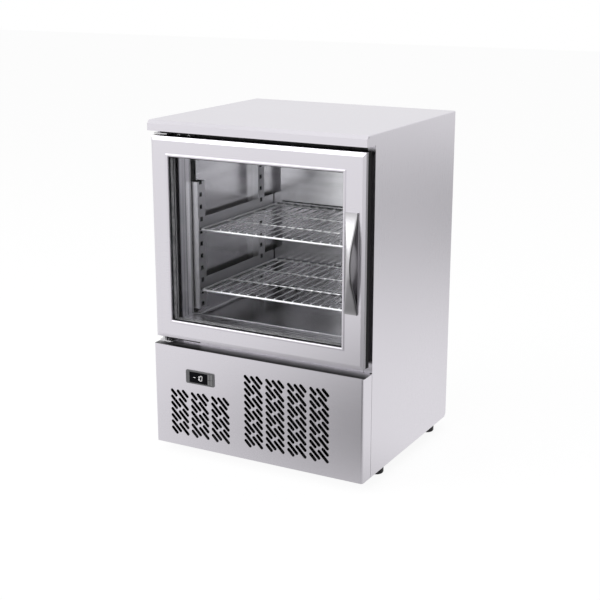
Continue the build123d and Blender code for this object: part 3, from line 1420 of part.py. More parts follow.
def filter_drier():
    """Copper filter drier lying front to back beside the compressor."""
    z = coil_bottom + condenser_tube_pitch / 2
    start = drier_y
    end = drier_y + DRIER_LENGTH
    body = rod((liquid_x, start + DRIER_NECK, z), (liquid_x, end - DRIER_NECK, z), DRIER_RADIUS)
    body = fillet(body.edges().filter_by(GeomType.CIRCLE), DRIER_RADIUS * 0.6)
    return body + rod((liquid_x, start, z), (liquid_x, end, z), PIPE_RADIUS + 1)


def refrigerant_pipes():
    """Discharge, liquid, capillary and suction pipes, without their bores."""
    low = coil_bottom + condenser_tube_pitch / 2
    high = coil_bottom + COIL_HEIGHT - condenser_tube_pitch / 2
    coil_end = coil_right + TUBE_STUB
    boss_x = compressor_x + DISCHARGE_X_OFFSET
    boss_y = compressor_y - COMPRESSOR_RADIUS - BOSS_LENGTH
    discharge = [
        (boss_x, boss_y, boss_z),
        (boss_x, boss_y - DISCHARGE_LOOP, boss_z),
        (discharge_x, boss_y - DISCHARGE_LOOP, boss_z),
        (discharge_x, coil_mid_y, boss_z),
        (discharge_x, coil_mid_y, high),
        (coil_end, coil_mid_y, high),
    ]
    liquid = [(coil_end, coil_mid_y, low), (liquid_x, coil_mid_y, low), (liquid_x, drier_y, low)]
    evaporator_end = evaporator_coil_right + TUBE_STUB
    capillary = [
        (liquid_x, drier_y + DRIER_LENGTH, low),
        (liquid_x, chase_mid, low),
        (capillary_x, chase_mid, low),
        (capillary_x, chase_mid, first_evaporator_tube),
        (capillary_x, evaporator_coil_mid_y, first_evaporator_tube),
        (evaporator_end, evaporator_coil_mid_y, first_evaporator_tube),
    ]
    suction = [
        (evaporator_end, evaporator_coil_mid_y, last_evaporator_tube),
        (suction_x, evaporator_coil_mid_y, last_evaporator_tube),
        (suction_x, chase_mid, last_evaporator_tube),
        (suction_x, chase_mid, boss_z),
        (suction_x, compressor_y + COMPRESSOR_RADIUS + BOSS_LENGTH, boss_z),
    ]
    return [
        pipe(discharge, PIPE_RADIUS, PIPE_BEND),
        pipe(liquid, PIPE_RADIUS, PIPE_BEND),
        pipe(capillary, CAPILLARY_RADIUS, PIPE_BEND * 0.6),
        pipe(suction, PIPE_RADIUS, PIPE_BEND * 0.6),
    ]


def evaporation_tray():
    """Open plastic tray on the base tray for melt water."""
    x0 = -half_width + WATER_TRAY_FROM_LEFT
    x1 = x0 + WATER_TRAY_WIDTH
    y1 = grille_y - GRILLE_SHEET - WATER_TRAY_REAR_GAP
    y0 = y1 - WATER_TRAY_DEPTH
    tray = block(x0, x1, y0, y1, tray_top, tray_top + WATER_TRAY_HEIGHT)
    wall = WATER_TRAY_WALL
    return tray - block(
        x0 + wall, x1 - wall, y0 + wall, y1 - wall, tray_top + wall, tray_top + WATER_TRAY_HEIGHT + CUT
    )


def evaporator_cover():
    """Polished cover over the evaporator, with flanges on the back wall and slots before the fan."""
    half_cover = evaporator_half
    sheet = EVAPORATOR_COVER_SHEET
    cover = block(-half_cover, half_cover, evaporator_front, cavity_back, evaporator_bottom, cavity_top)
    inner = half_cover - sheet
    cover -= block(
        -inner, inner, evaporator_front + sheet, cavity_back + CUT, evaporator_bottom - CUT, cavity_top + CUT
    )
    for side in (-1, 1):
        edge = side * half_cover
        cover += block(
            edge, edge + side * EVAPORATOR_FLANGE, cavity_back - sheet, cavity_back, evaporator_bottom, cavity_top
        )
    slots = []
    rows = int(EVAPORATOR_FAN_RADIUS / EVAPORATOR_GRILLE_PITCH)
    for row in range(-rows, rows + 1):
        rise = row * EVAPORATOR_GRILLE_PITCH
        length = 2 * (EVAPORATOR_FAN_RADIUS**2 - rise**2) ** 0.5
        if length < 4 * EVAPORATOR_GRILLE_SLOT:
            continue
        slot = SlotOverall(length, EVAPORATOR_GRILLE_SLOT)
        face = Plane.XZ.offset(-evaporator_front) * Pos(evaporator_fan_x, evaporator_mid_z + rise) * slot
        slots.append(extrude(face, amount=CUT, both=True))
    return cover - slots


def evaporator_coil():
    """Finned evaporator held on the back wall by its end plates."""
    mid_y = evaporator_coil_mid_y
    y0 = mid_y - EVAPORATOR_COIL_DEPTH / 2
    y1 = mid_y + EVAPORATOR_COIL_DEPTH / 2
    z0 = evaporator_mid_z - evaporator_coil_height / 2
    z1 = evaporator_mid_z + evaporator_coil_height / 2
    tube_z = [first_evaporator_tube + number * EVAPORATOR_TUBE_PITCH for number in range(EVAPORATOR_TUBES)]
    coil = finned_coil(evaporator_coil_left, evaporator_coil_right, y0, y1, z0, z1, EVAPORATOR_FINS, tube_z, mid_y)
    for x in (evaporator_coil_left - END_PLATE, evaporator_coil_right):
        coil += block(x, x + END_PLATE, y1, cavity_back, z0, z1)
    return coil


def evaporator_fan_blades():
    """Five-bladed fan of the evaporator."""
    wheel = fan(EVAPORATOR_FAN_RADIUS, evaporator_fan_depth, EVAPORATOR_BLADE_CHORD, FAN_HUB_GAP + SHAFT_IN_MOTOR)
    return Pos(evaporator_fan_x, evaporator_fan_front, evaporator_mid_z) * along_y(wheel)


def evaporator_fan_motor():
    """Small motor on the back wall behind the evaporator fan."""
    body = motor(EVAPORATOR_MOTOR_RADIUS, EVAPORATOR_MOTOR_LENGTH)
    return Pos(evaporator_fan_x, evaporator_motor_front, evaporator_mid_z) * along_y(body)


def evaporator_drip_tray():
    """Black tray under the evaporator, its front edge showing, with a spout that drains it."""
    half_tray = evaporator_half - EVAPORATOR_COVER_SHEET - DRIP_TRAY_INSET
    y0 = evaporator_front + EVAPORATOR_COVER_SHEET
    z0 = evaporator_bottom - DRIP_TRAY_SHOW
    z1 = z0 + DRIP_TRAY_HEIGHT
    wall = DRIP_TRAY_WALL
    drain_z = z0 + DRIP_TRAY_HEIGHT / 2
    tray = block(-half_tray, half_tray, y0, cavity_back, z0, z1)
    tray -= block(-half_tray + wall, half_tray - wall, y0 + wall, cavity_back - wall, z0 + wall, z1 + CUT)
    spout = [(drain_x, cavity_back - wall, drain_z), (drain_x, chase_mid, drain_z), (drain_x, chase_mid, DRAIN_END_HEIGHT)]
    tray += pipe(spout, DRAIN_RADIUS, DRAIN_RADIUS * 1.3)
    bore = [(drain_x, cavity_back - wall - 1, drain_z), (drain_x, chase_mid, drain_z), (drain_x, chase_mid, DRAIN_END_HEIGHT - 1)]
    return tray - pipe(bore, DRAIN_BORE, DRAIN_RADIUS * 1.3)


def all_parts():
    """Every piece under its node name."""
    parts = {
        "worktop": worktop(),
        "side_panel_left": side_panel(-1),
        "side_panel_right": side_panel(1),
        "rear_panel": rear_panel(),
        "rear_grille": rear_grille(),
        "cord_gland": cord_gland(),
        "base_tray": base_tray(),
        "compartment_roof": compartment_roof(),
        "foam_insulation": foam_insulation(),
        "liner_left": liner_side(-1),
        "liner_right": liner_side(1),
        "liner_back": liner_back(),
        "liner_ceiling": liner_ceiling(),
        "liner_floor": liner_floor(),
        "opening_frame": opening_frame(),
        "thermal_break_strips": thermal_break_strips(),
        "pilasters_left": pilaster_pair(-1),
        "pilasters_right": pilaster_pair(1),
        "shelf_runners": shelf_runners(),
        "shelf_upper": wire_shelf(upper_shelf_slot()),
        "shelf_lower": wire_shelf(LOWER_SHELF_SLOT),
        "front_cover": front_cover(),
        "controller_housing": controller_housing(),
        "controller_screen": controller_screen(),
        "hinge_bracket_top": hinge_bracket_top(),
        "hinge_bracket_bottom": hinge_bracket_bottom(),
        "hinge_hole_plugs": hinge_hole_plugs(),
        "screws": screws(),
        "door_frame": door_frame(),
        "door_back_frame": door_back_frame(),
        "glass_outer": pane(pane_front),
        "glass_inner": pane(pane_front + PANE_THICKNESS + PANE_GAP),
        "glass_spacer": glass_spacer(),
        "glazing_seal": glazing_seal(),
        "door_gasket": door_gasket(),
        "door_handle": door_handle(),
        "hinge_bushes": hinge_bushes(),
        "condenser_coil": condenser_coil(),
        "condenser_fan_shroud": condenser_fan_shroud(),
        "condenser_fan_blades": condenser_fan_blades(),
        "condenser_fan_motor": condenser_fan_motor(),
        "compressor": compressor(),
        "compressor_grommets": compressor_grommets(),
        "compressor_terminal_box": compressor_terminal_box(),
        "filter_drier": filter_drier(),
        "refrigerant_pipes": refrigerant_pipes(),
        "evaporation_tray": evaporation_tray(),
        "evaporator_cover": evaporator_cover(),
        "evaporator_coil": evaporator_coil(),
        "evaporator_fan_blades": evaporator_fan_blades(),
        "evaporator_fan_motor": evaporator_fan_motor(),
        "evaporator_drip_tray": evaporator_drip_tray(),
    }
    for name, x, z in key_places():
        parts[name] = key(x, z)
    for name, x, y in foot_places():
        parts[name] = foot(x, y)
    return parts


os.makedirs("parts", exist_ok=True)
for name, shape in all_parts().items():
    pieces = shape if isinstance(shape, list) else [shape]
    placed = [Pos(0, -depth_shift, 0) * piece for piece in pieces]
    export_step(Compound(children=placed) if len(placed) > 1 else placed[0], f"parts/{name}.step")
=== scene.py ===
"""Undercounter freezer with a glass door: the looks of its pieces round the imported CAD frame.

The sections follow the freezer as it is put together, from the case to the machine compartment.
Lengths are in metres: X runs to the right, Y to the back and Z up from the floor.
"""

from math import radians

import bpy
import numpy as np
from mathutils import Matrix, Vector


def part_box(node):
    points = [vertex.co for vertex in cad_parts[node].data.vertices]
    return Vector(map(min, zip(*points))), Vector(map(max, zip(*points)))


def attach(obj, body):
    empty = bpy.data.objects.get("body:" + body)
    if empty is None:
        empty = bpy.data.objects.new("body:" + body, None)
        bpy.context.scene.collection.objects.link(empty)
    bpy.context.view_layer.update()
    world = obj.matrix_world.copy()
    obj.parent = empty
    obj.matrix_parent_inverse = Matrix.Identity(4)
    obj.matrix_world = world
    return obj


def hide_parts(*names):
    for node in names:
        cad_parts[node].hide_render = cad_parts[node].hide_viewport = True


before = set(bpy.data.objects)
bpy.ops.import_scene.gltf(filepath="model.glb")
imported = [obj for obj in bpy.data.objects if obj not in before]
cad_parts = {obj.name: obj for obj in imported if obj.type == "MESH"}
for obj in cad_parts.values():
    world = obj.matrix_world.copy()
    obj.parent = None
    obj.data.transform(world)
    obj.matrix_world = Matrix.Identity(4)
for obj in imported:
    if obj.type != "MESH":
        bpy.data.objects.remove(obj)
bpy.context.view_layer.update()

# Camera. It stands in front and to the right, a little above the worktop, at the photograph's viewing angle. It is
# turned 28.62 degrees to the left and looks down by 15.6, since a tilt of 90 is level.
TILT = 74.4
TURN = 28.62
eye = bpy.data.objects.new("camera", bpy.data.cameras.new("camera"))
bpy.context.scene.collection.objects.link(eye)
eye.location = (1.4929, -2.7474, 1.2621)
eye.rotation_euler = (radians(TILT), 0, radians(TURN))
eye.data.sensor_width = 36
eye.data.lens = 74.41
bpy.context.scene.camera = eye
bpy.context.scene.view_settings.view_transform = "Standard"


# Studio. A white sweep of floor under a white room, lit by two large soft boxes and a top light. The camera, and
# rays that metal or glass turn, see the floor and the room as white card; plain surfaces see a dimmer room.
FLOOR_HALF = 14.0
# round grey patches on the card, each with its middle, its radius and how much darker its middle is: the freezer's
# own shade in front of it, the unlit part of the room in front to the right, and the floor behind to the right
FLOOR_PATCHES = (((0.25, -0.8), 1.0, 0.7), ((0.95, -1.6), 1.5, 0.8), ((1.6, 3.6), 3.4, 0.5))
# the ways to the middle of the unlit part of the room, in front to the right, and of the bright wall to the left
UNLIT_WAY = (0.46, -0.86, 0.2)
BRIGHT_WAY = (-0.5, -0.83, 0.24)
# each lamp with its side, its watts, where it hangs and how it is turned, in degrees
LAMPS = (
    ("soft_box_left", 3.2, 52.0, (-2.6, -3.0, 3.0), (52, 0, -41)),
    ("soft_box_right", 3.0, 19.0, (3.8, -0.6, 2.2), (66, 0, 80)),
    ("top_light", 3.2, 16.0, (-0.3, 0.3, 4.0), (0, 0, 0)),
)


def add_node(tree, kind, joined=(), **settings):
    """One shader node. Of what joined gives for its sockets, another node's socket is linked to it, and anything
    else is set as a constant."""
    made = tree.nodes.new("ShaderNode" + kind)
    for key, value in settings.items():
        setattr(made, key, value)
    for key, value in dict(joined).items():
        if isinstance(value, bpy.types.NodeSocket):
            tree.links.new(value, made.inputs[key])
        else:
            made.inputs[key].default_value = value
    return made


def reckon(tree, operation, *values):
    """The result of one sum on sockets or numbers, such as ADD or MULTIPLY."""
    return add_node(tree, "Math", dict(enumerate(values)), operation=operation).outputs[0]


def any_of(tree, first, second):
    """1 where either of two masks is 1."""
    return reckon(tree, "MAXIMUM", first, second)


def spread(tree, value, low, high, start=0.3, end=0.7, soft=False):
    """A value carried from the range between start and end to the range from low to high, in a straight line or,
    if soft, in an S that is level at both ends."""
    limits = {"Value": value, "From Min": start, "From Max": end, "To Min": low, "To Max": high}
    return add_node(tree, "MapRange", limits, interpolation_type="SMOOTHSTEP" if soft else "LINEAR").outputs[0]


def mesh_piece(name, points, faces, smooth=True):
    """A mesh object at the origin from an array of points and a list of faces."""
    made = bpy.data.meshes.new(name)
    made.from_pydata(np.asarray(points).reshape(-1, 3).tolist(), [], faces)
    made.polygons.foreach_set("use_smooth", np.full(len(made.polygons), smooth))
    made.update()
    piece = bpy.data.objects.new(name, made)
    bpy.context.scene.collection.objects.link(piece)
    return piece


floor_paint = bpy.data.materials.new("studio floor paint")
floor_paint.use_nodes = True
tree = floor_paint.node_tree
tree.nodes.clear()
path = add_node(tree, "LightPath")
turned = any_of(tree, path.outputs["Is Glossy Ray"], path.outputs["Is Transmission Ray"])
place = add_node(tree, "TexCoord").outputs["Object"]
card = 1.0
for middle, radius, darker in FLOOR_PATCHES:
    scale = 1 / radius
    away = {"Vector": place, "Location": (-middle[0] * scale, -middle[1] * scale, 0), "Scale": (scale, scale, 0)}
    away = add_node(tree, "Mapping", away).outputs[0]
    near = add_node(tree, "TexGradient", {"Vector": away}, gradient_type="SPHERICAL").outputs["Fac"]
    card = reckon(tree, "SUBTRACT", card, spread(tree, near, 0.0, darker, 0.0, 1.0, soft=True))
white_card = add_node(tree, "Emission", {"Color": (1, 1, 1, 1), "Strength": 0.9})
metal_card = add_node(tree, "Emission", {"Color": (1, 0.995, 1, 1), "Strength": card})
matt = add_node(tree, "BsdfDiffuse", {"Color": (0.82, 0.82, 0.82, 1)})
faint = add_node(tree, "BsdfDiffuse", {"Color": (0.16, 0.16, 0.16, 1)})
seen = add_node(tree, "AddShader", {0: white_card.outputs[0], 1: faint.outputs[0]})
shown = add_node(tree, "MixShader", {0: path.outputs["Is Camera Ray"], 1: matt.outputs[0], 2: seen.outputs[0]})
both = add_node(tree, "MixShader", {0: turned, 1: shown.outputs[0], 2: metal_card.outputs[0]})
add_node(tree, "OutputMaterial", {"Surface": both.outputs[0]})
corners = [(x * FLOOR_HALF, y * FLOOR_HALF, 0) for x, y in ((-1, -1), (1, -1), (1, 1), (-1, 1))]
floor = mesh_piece("studio_floor", corners, [(0, 1, 2, 3)])
floor.data.materials.append(floor_paint)

room = bpy.data.worlds.new("studio room")
bpy.context.scene.world = room
room.use_nodes = True
tree = room.node_tree
tree.nodes.clear()
path = add_node(tree, "LightPath")
turned = any_of(tree, path.outputs["Is Glossy Ray"], path.outputs["Is Transmission Ray"])
facing = add_node(tree, "TexCoord").outputs["Generated"]
up = add_node(tree, "SeparateXYZ", {0: facing}).outputs["Z"]
unlit, bright = (
    add_node(tree, "VectorMath", {0: facing, 1: way}, operation="DOT_PRODUCT").outputs["Value"]
    for way in (UNLIT_WAY, BRIGHT_WAY)
)
# a wall a little brighter higher up, with its unlit and its bright part, under a grey ceiling over the top light
wall = spread(tree, up, 0.9, 1.06, 0.0, 0.3)
wall = reckon(tree, "MULTIPLY", wall, spread(tree, unlit, 1.0, 0.88, 0.72, 0.97, soft=True))
wall = reckon(tree, "ADD", wall, spread(tree, bright, 0.0, 0.24, 0.75, 0.98, soft=True))
wall = reckon(tree, "MULTIPLY", wall, spread(tree, up, 1.0, 0.5, 0.75, 0.95, soft=True))
glow = reckon(tree, "MULTIPLY", wall, spread(tree, turned, 0.5, 1.0, 0.0, 1.0))
white = add_node(tree, "Background", {"Color": (1, 1, 1, 1), "Strength": 1.0})
light = add_node(tree, "Background", {"Color": (1, 1, 1, 1), "Strength": glow})
both = add_node(tree, "MixShader", {0: path.outputs["Is Camera Ray"], 1: light.outputs[0], 2: white.outputs[0]})
add_node(tree, "OutputWorld", {"Surface": both.outputs[0]})

for name, size, watts, spot, turn in LAMPS:
    lamp = bpy.data.lights.new(name, "AREA")
    lamp.size = size
    lamp.energy = watts
    box = bpy.data.objects.new(name, lamp)
    bpy.context.scene.collection.objects.link(box)
    box.location = spot
    box.rotation_euler = tuple(radians(angle) for angle in turn)
    box.visible_camera = False


# Side panels. Two folded sheets of stainless steel make the case's walls, ground to a fine upright grain. Each
# returns at the front round the machine cover and at the back over the rear panel. Along the machine compartment
# their inner faces carry black painted shade, so the slots look black from outside.
STEEL = (0.7, 0.681, 0.725)
# where the black painted shade lies on the inner faces: behind the front, before the back and over the cover
SHADE_FROM_FRONT = 0.004
SHADE_FROM_BACK = 0.02
SHADE_OVER_COVER = 0.002
OUTER_FACE = 0.0006
OPEN = (None, None)


def new_finish(name, **constants):
    """A material with one surface shader, whose constants go straight on its sockets, and its node tree."""
    material = bpy.data.materials.new(name)
    material.use_nodes = True
    tree = material.node_tree
    tree.nodes.clear()
    surface = add_node(tree, "BsdfPrincipled", {key.replace("_", " "): value for key, value in constants.items()})
    add_node(tree, "OutputMaterial", {"Surface": surface.outputs[0]})
    return material, tree, surface


def surface_of(tree):
    """The surface shader that new_finish made."""
    return next(node for node in tree.nodes if node.type == "BSDF_PRINCIPLED")


def noise(tree, per_metre, detail=3.0):
    """Soft noise from 0 to 1 over the Object coordinates, with a count of features per metre on each axis, or one
    count for all three."""
    place = add_node(tree, "TexCoord").outputs["Object"]
    scale = (per_metre,) * 3 if isinstance(per_metre, float) else per_metre
    scaled = add_node(tree, "Mapping", {"Vector": place, "Scale": scale}).outputs[0]
    return add_node(tree, "TexNoise", {"Vector": scaled, "Scale": 1.0, "Detail": detail}).outputs["Fac"]


def blend_tones(tree, value, dark, light):
    """A colour between two tones, by a value from 0 to 1."""
    mixed = add_node(tree, "Mix", {0: value, 6: (*dark, 1), 7: (*light, 1)}, data_type="RGBA")
    return mixed.outputs[2]


def raise_grain(tree, surface, height, depth, strength=0.5):
    """Gives the surface a bump from a height, in metres from its lowest to its highest point."""
    bump = add_node(tree, "Bump", {"Height": height, "Distance": depth, "Strength": strength})
    tree.links.new(bump.outputs[0], surface.inputs["Normal"])


def ground_steel(name, along, tone, shine):
    """Stainless sheet ground along one axis: scratches 2400 to the metre across the grain and 25 along it, with
    wide clouds of slightly duller and brighter gloss."""
    material, tree, surface = new_finish(name, Metallic=1.0)
    scratches = noise(tree, tuple(25.0 if axis == along else 2400.0 for axis in range(3)))
    clouds = spread(tree, noise(tree, 2.2, 2.0), shine - 0.02, shine + 0.02)
    dull = reckon(tree, "ADD", spread(tree, scratches, -0.03, 0.03), clouds)
    tree.links.new(dull, surface.inputs["Roughness"])
    dark = tuple(c * 0.985 for c in tone)
    tree.links.new(blend_tones(tree, spread(tree, scratches, 0, 1), dark, tone), surface.inputs["Base Color"])
    raise_grain(tree, surface, scratches, 0.00001, 0.3)
    return material


def coordinate(tree, axis):
    """The Object coordinate along one axis, by its number."""
    return add_node(tree, "SeparateXYZ", {0: add_node(tree, "TexCoord").outputs["Object"]}).outputs[axis]


def inside(tree, x=OPEN, y=OPEN, z=OPEN, mirrored=False):
    """A mask: 1 where every Object coordinate is over its lower limit and not over its upper one, if it has one.
    Mirrored takes x as the distance from the middle plane."""
    mask = 1.0
    for axis, (low, high) in enumerate((x, y, z)):
        if (low, high) == OPEN:
            continue
        along = coordinate(tree, axis)
        if mirrored and axis == 0:
            along = reckon(tree, "ABSOLUTE", along)
        if low is not None:
            mask = reckon(tree, "MULTIPLY", mask, reckon(tree, "GREATER_THAN", along, low))
        if high is not None:
            over = reckon(tree, "GREATER_THAN", along, high)
            mask = reckon(tree, "MULTIPLY", mask, reckon(tree, "SUBTRACT", 1.0, over))
    return mask


def tint(tree, mask, colour):
    """Turns the surface's own colour to another, by a mask from 0 to 1."""
    socket = surface_of(tree).inputs["Base Color"]
    mixed = add_node(tree, "Mix", {0: mask, 6: socket.links[0].from_socket, 7: colour}, data_type="RGBA")
    tree.links.new(mixed.outputs[2], socket)


def face_black(tree, mask):
    """Turns the surface dull black wherever the mask is 1, for painted shade and for black parts and seams."""
    tint(tree, mask, (0.01, 0.01, 0.011, 1))
    for name, plain in (("Roughness", 0.4), ("Metallic", 0.0)):
        socket = surface_of(tree).inputs[name]
        steel = socket.links[0].from_socket if socket.links else socket.default_value
        mixed = add_node(tree, "Mix", {0: mask, 2: steel, 3: plain})
        tree.links.new(mixed.outputs[0], socket)


def dress(material, *nodes):
    """Puts a material on CAD nodes that keep their own shape."""
    for node in nodes:
        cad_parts[node].data.materials.clear()
        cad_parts[node].data.materials.append(material)


panel_steel = ground_steel("stainless side panel with painted shade inside", 2, STEEL, 0.3)
panel_low, panel_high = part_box("side_panel_right")
# black painted shade on the inner faces along the machine compartment
compartment_shade = inside(
    panel_steel.node_tree,
    x=(None, panel_high.x - OUTER_FACE),
    y=(panel_low.y + SHADE_FROM_FRONT, panel_high.y - SHADE_FROM_BACK),
    z=(None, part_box("front_cover")[1].z + SHADE_OVER_COVER),
    mirrored=True,
)
face_black(panel_steel.node_tree, compartment_shade)
dress(panel_steel, "side_panel_left", "side_panel_right")

# Worktop. One sheet of stainless steel with a bevelled nose at the front, ground from left to right. It is glued
# to the foam and hooks over the side panels.
dress(ground_steel("stainless steel ground level", 0, STEEL, 0.31), "worktop")

# Opening frame. The stainless front of the body, which the gasket closes on, with its jambs folded inwards. Above
# the gasket black painted shade keeps the gap under the nose dark; a seam shows below on each side.
SHADE_INSET = 0.014
SEAM = (0.2767, 0.2774)
# the 1 mm sheet and a little over
FRONT_SHEET = 0.0015
gasket_low, gasket_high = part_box("door_gasket")
frame_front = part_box("opening_frame")[0].y
facing_steel = ground_steel("stainless steel with painted shade", 0, STEEL, 0.31)
tree = facing_steel.node_tree
# black painted shade above the gasket, in the gap under the nose
facing = inside(tree, x=(None, gasket_high.x - SHADE_INSET), z=(gasket_high.z, None), mirrored=True)
face_black(tree, any_of(tree, facing, inside(tree, x=SEAM, z=(None, gasket_low.z), mirrored=True)))
# the jambs carry painted shade in bands, 95 to the metre
painted_bands = spread(tree, noise(tree, (0.5, 95.0, 0.5), 1.0), 0, 1, 0.36, 0.62)
painted_bands = blend_tones(tree, painted_bands, (0.42, 0.41, 0.43), (0.98, 0.96, 1.0))
tint(tree, inside(tree, y=(frame_front + FRONT_SHEET, None)), painted_bands)
dress(facing_steel, "opening_frame")

# Front cover. A folded stainless sheet with rounded side edges, its air slots punched through. Two screws hold it.
# Its top flange carries black painted shade under the door, darkest at the front and fading out behind.
FLANGE_SHADE_FULL = 0.012
FLANGE_SHADE_END = 0.046
# the 1.2 mm sheet and a little over
COVER_SHEET = 0.0013
# the zone of the slots, in from the cover's sides, bottom and top and back from its front face
SLOTS_FROM_SIDE = 0.012
SLOTS_FROM_BOTTOM = 0.01
SLOTS_FROM_TOP = 0.02
SLOTS_FROM_FRONT = 0.0002
cover_steel = ground_steel("stainless cover with painted shade", 0, STEEL, 0.31)
tree = cover_steel.node_tree
cover_low, cover_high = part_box("front_cover")
cover_back = cover_low.y + COVER_SHEET
# black painted shade on the top flange under the door, darkest at the front
flange_shade = spread(tree, coordinate(tree, 1), 1.0, 0.0, cover_low.y + FLANGE_SHADE_FULL, cover_low.y + FLANGE_SHADE_END)
flange_shade = reckon(tree, "MULTIPLY", flange_shade, inside(tree, y=(cover_back, None), z=(cover_high.z - COVER_SHEET, None)))
# painted shade turns the punched edges of the slots dark
slot_edge_shade = inside(
    tree,
    x=(None, cover_high.x - SLOTS_FROM_SIDE),
    y=(cover_low.y + SLOTS_FROM_FRONT, cover_back),
    z=(cover_low.z + SLOTS_FROM_BOTTOM, cover_high.z - SLOTS_FROM_TOP),
    mirrored=True,
)
face_black(tree, any_of(tree, flange_shade, slot_edge_shade))
dress(cover_steel, "front_cover")


# Back and bottom sheets. Rear panel and grille are zinc-plated steel, whose plating shows as a soft pattern of
# crystals. Base tray, compartment roof and the condenser fan's shroud carry dark painted shade, and the screws
# are bright.
def zinc_plating(name, crystals, tone, shine):
    """Plated sheet: cells of slightly different tone, a few millimetres across, with a dull even gloss."""
    material, tree, surface = new_finish(name, Metallic=1.0)
    place = add_node(tree, "TexCoord").outputs["Object"]
    warp = add_node(tree, "TexNoise", {"Vector": place, "Scale": crystals * 0.7, "Detail": 1.0}).outputs["Color"]
    mixed = add_node(tree, "Mix", {0: 0.012, 6: place, 7: warp}, data_type="RGBA").outputs[2]
    cells = add_node(tree, "TexVoronoi", {"Vector": mixed, "Scale": crystals}, feature="F1").outputs["Color"]
    grey = add_node(tree, "RGBToBW", {0: cells}).outputs[0]
    dark = tuple(c * 0.86 for c in tone)
    tree.links.new(blend_tones(tree, spread(tree, grey, 0, 1, 0.2, 0.8), dark, tone), surface.inputs["Base Color"])
    tree.links.new(spread(tree, grey, shine - 0.06, shine + 0.07, 0.1, 0.9), surface.inputs["Roughness"])
    raise_grain(tree, surface, grey, 0.00003, 0.3)
    return material


SHEET_CRYSTALS = 140.0
FITTING_CRYSTALS = 420.0
BRIGHT_ZINC = (0.62, 0.62, 0.63)
plated_sheet = zinc_plating("zinc plated sheet", SHEET_CRYSTALS, (0.6, 0.61, 0.62), 0.38)
dress(plated_sheet, "rear_panel", "rear_grille")
# painted shade: the dark tone stands for the shade inside the machine compartment
shaded_sheet = zinc_plating("plated sheet with painted shade inside", SHEET_CRYSTALS, (0.1, 0.1, 0.104), 0.5)
dress(shaded_sheet, "base_tray", "compartment_roof", "condenser_fan_shroud")
dress(zinc_plating("bright zinc plated fittings", FITTING_CRYSTALS, BRIGHT_ZINC, 0.26), "screws")

# Hinge brackets. Bent from 3 mm steel: the upright on the body is black and the leaf that carries the pin is
# plated bright. The black ends half a millimetre in front of the upright.
UPRIGHT_REACH = 0.0035
hinge_steel = zinc_plating("plated hinge with a black upright", FITTING_CRYSTALS, BRIGHT_ZINC, 0.26)
face_black(hinge_steel.node_tree, inside(hinge_steel.node_tree, y=(frame_front - UPRIGHT_REACH, None)))
dress(hinge_steel, "hinge_bracket_top", "hinge_bracket_bottom")


# Foam. Polyurethane that is foamed in between the case and the liner and holds them together. Its yellow skin
# shows the blown cells.
def foam_skin(name):
    """Foam: round cells about 2 mm across in a cream skin, darker where they are deep."""
    material, tree, surface = new_finish(name, Roughness=0.85)
    place = add_node(tree, "TexCoord").outputs["Object"]
    cells = add_node(tree, "TexVoronoi", {"Vector": place, "Scale": 450.0}, feature="SMOOTH_F1")
    cells = cells.outputs["Distance"]
    tone = blend_tones(tree, spread(tree, cells, 0, 1, 0.1, 0.7), (0.62, 0.5, 0.27), (0.84, 0.74, 0.5))
    tree.links.new(tone, surface.inputs["Base Color"])
    raise_grain(tree, surface, cells, 0.0006, 0.6)
    return material


dress(foam_skin("polyurethane foam"), "foam_insulation")


# Liner. Polished stainless sheet folded into the storage space, with coves where the floor meets its walls. The
# evaporator's cover is of the same sheet. Between 0.6 and 0.44 m over the floor painted shade darkens it.
LINER_SHADE_FULL = 0.44
LINER_SHADE_END = 0.6


def polished_steel(name, tone, shine, ripple):
    """Polished sheet: a soft mirror with long level waves from rolling, and painted shade darkening it low down.
    """
    material, tree, surface = new_finish(name, Metallic=1.0)
    waves = noise(tree, (2.5, 2.5, 22.0), 2.5)
    rubs = spread(tree, noise(tree, (28.0, 28.0, 300.0)), -0.02, 0.03)
    shades = reckon(tree, "ADD", rubs, spread(tree, waves, shine - 0.03, shine + 0.05))
    tree.links.new(shades, surface.inputs["Roughness"])
    dark = tuple(c * 0.72 for c in tone)
    tree.links.new(blend_tones(tree, spread(tree, waves, 0, 1), dark, tone), surface.inputs["Base Color"])
    # painted shade darkens the sheet low down
    painted_shade = spread(tree, coordinate(tree, 2), 0.5, 0.0, LINER_SHADE_FULL, LINER_SHADE_END)
    tint(tree, painted_shade, (0.24, 0.236, 0.25, 1))
    raise_grain(tree, surface, waves, ripple, 1.0)
    return material


liner_steel = polished_steel("polished stainless liner", (0.9, 0.885, 0.92), 0.2, 0.0005)
dress(liner_steel, "liner_left", "liner_right", "liner_back", "liner_ceiling", "liner_floor", "evaporator_cover")

# Pilasters and shelf runners. Channels of the same polished sheet with a row of slots, which the runners hook
# into. Inside the channels and at the rims of the slots black painted shade lies on the sheet.
CHANNEL_INSIDE = 0.2226
CHANNEL_WIDTH = 0.034
CHANNEL_WALL = 0.0009
SLOT_PITCH = 0.032
FIRST_SLOT = 0.011
RIM_SHADE_REACH = 0.18
SLOT_ROW = (0.008, 0.02)
pilaster_steel = polished_steel("polished stainless pilaster", (0.86, 0.85, 0.88), 0.32, 0.0001)
tree = pilaster_steel.node_tree
pilaster_low, pilaster_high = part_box("pilasters_left")
# the rise over the pilaster's lower end is counted in slots, and each slot's middle is at half a count
rise = reckon(tree, "SUBTRACT", coordinate(tree, 2), pilaster_low.z + FIRST_SLOT - SLOT_PITCH / 2)
rise = reckon(tree, "FRACT", reckon(tree, "MULTIPLY", rise, 1 / SLOT_PITCH))
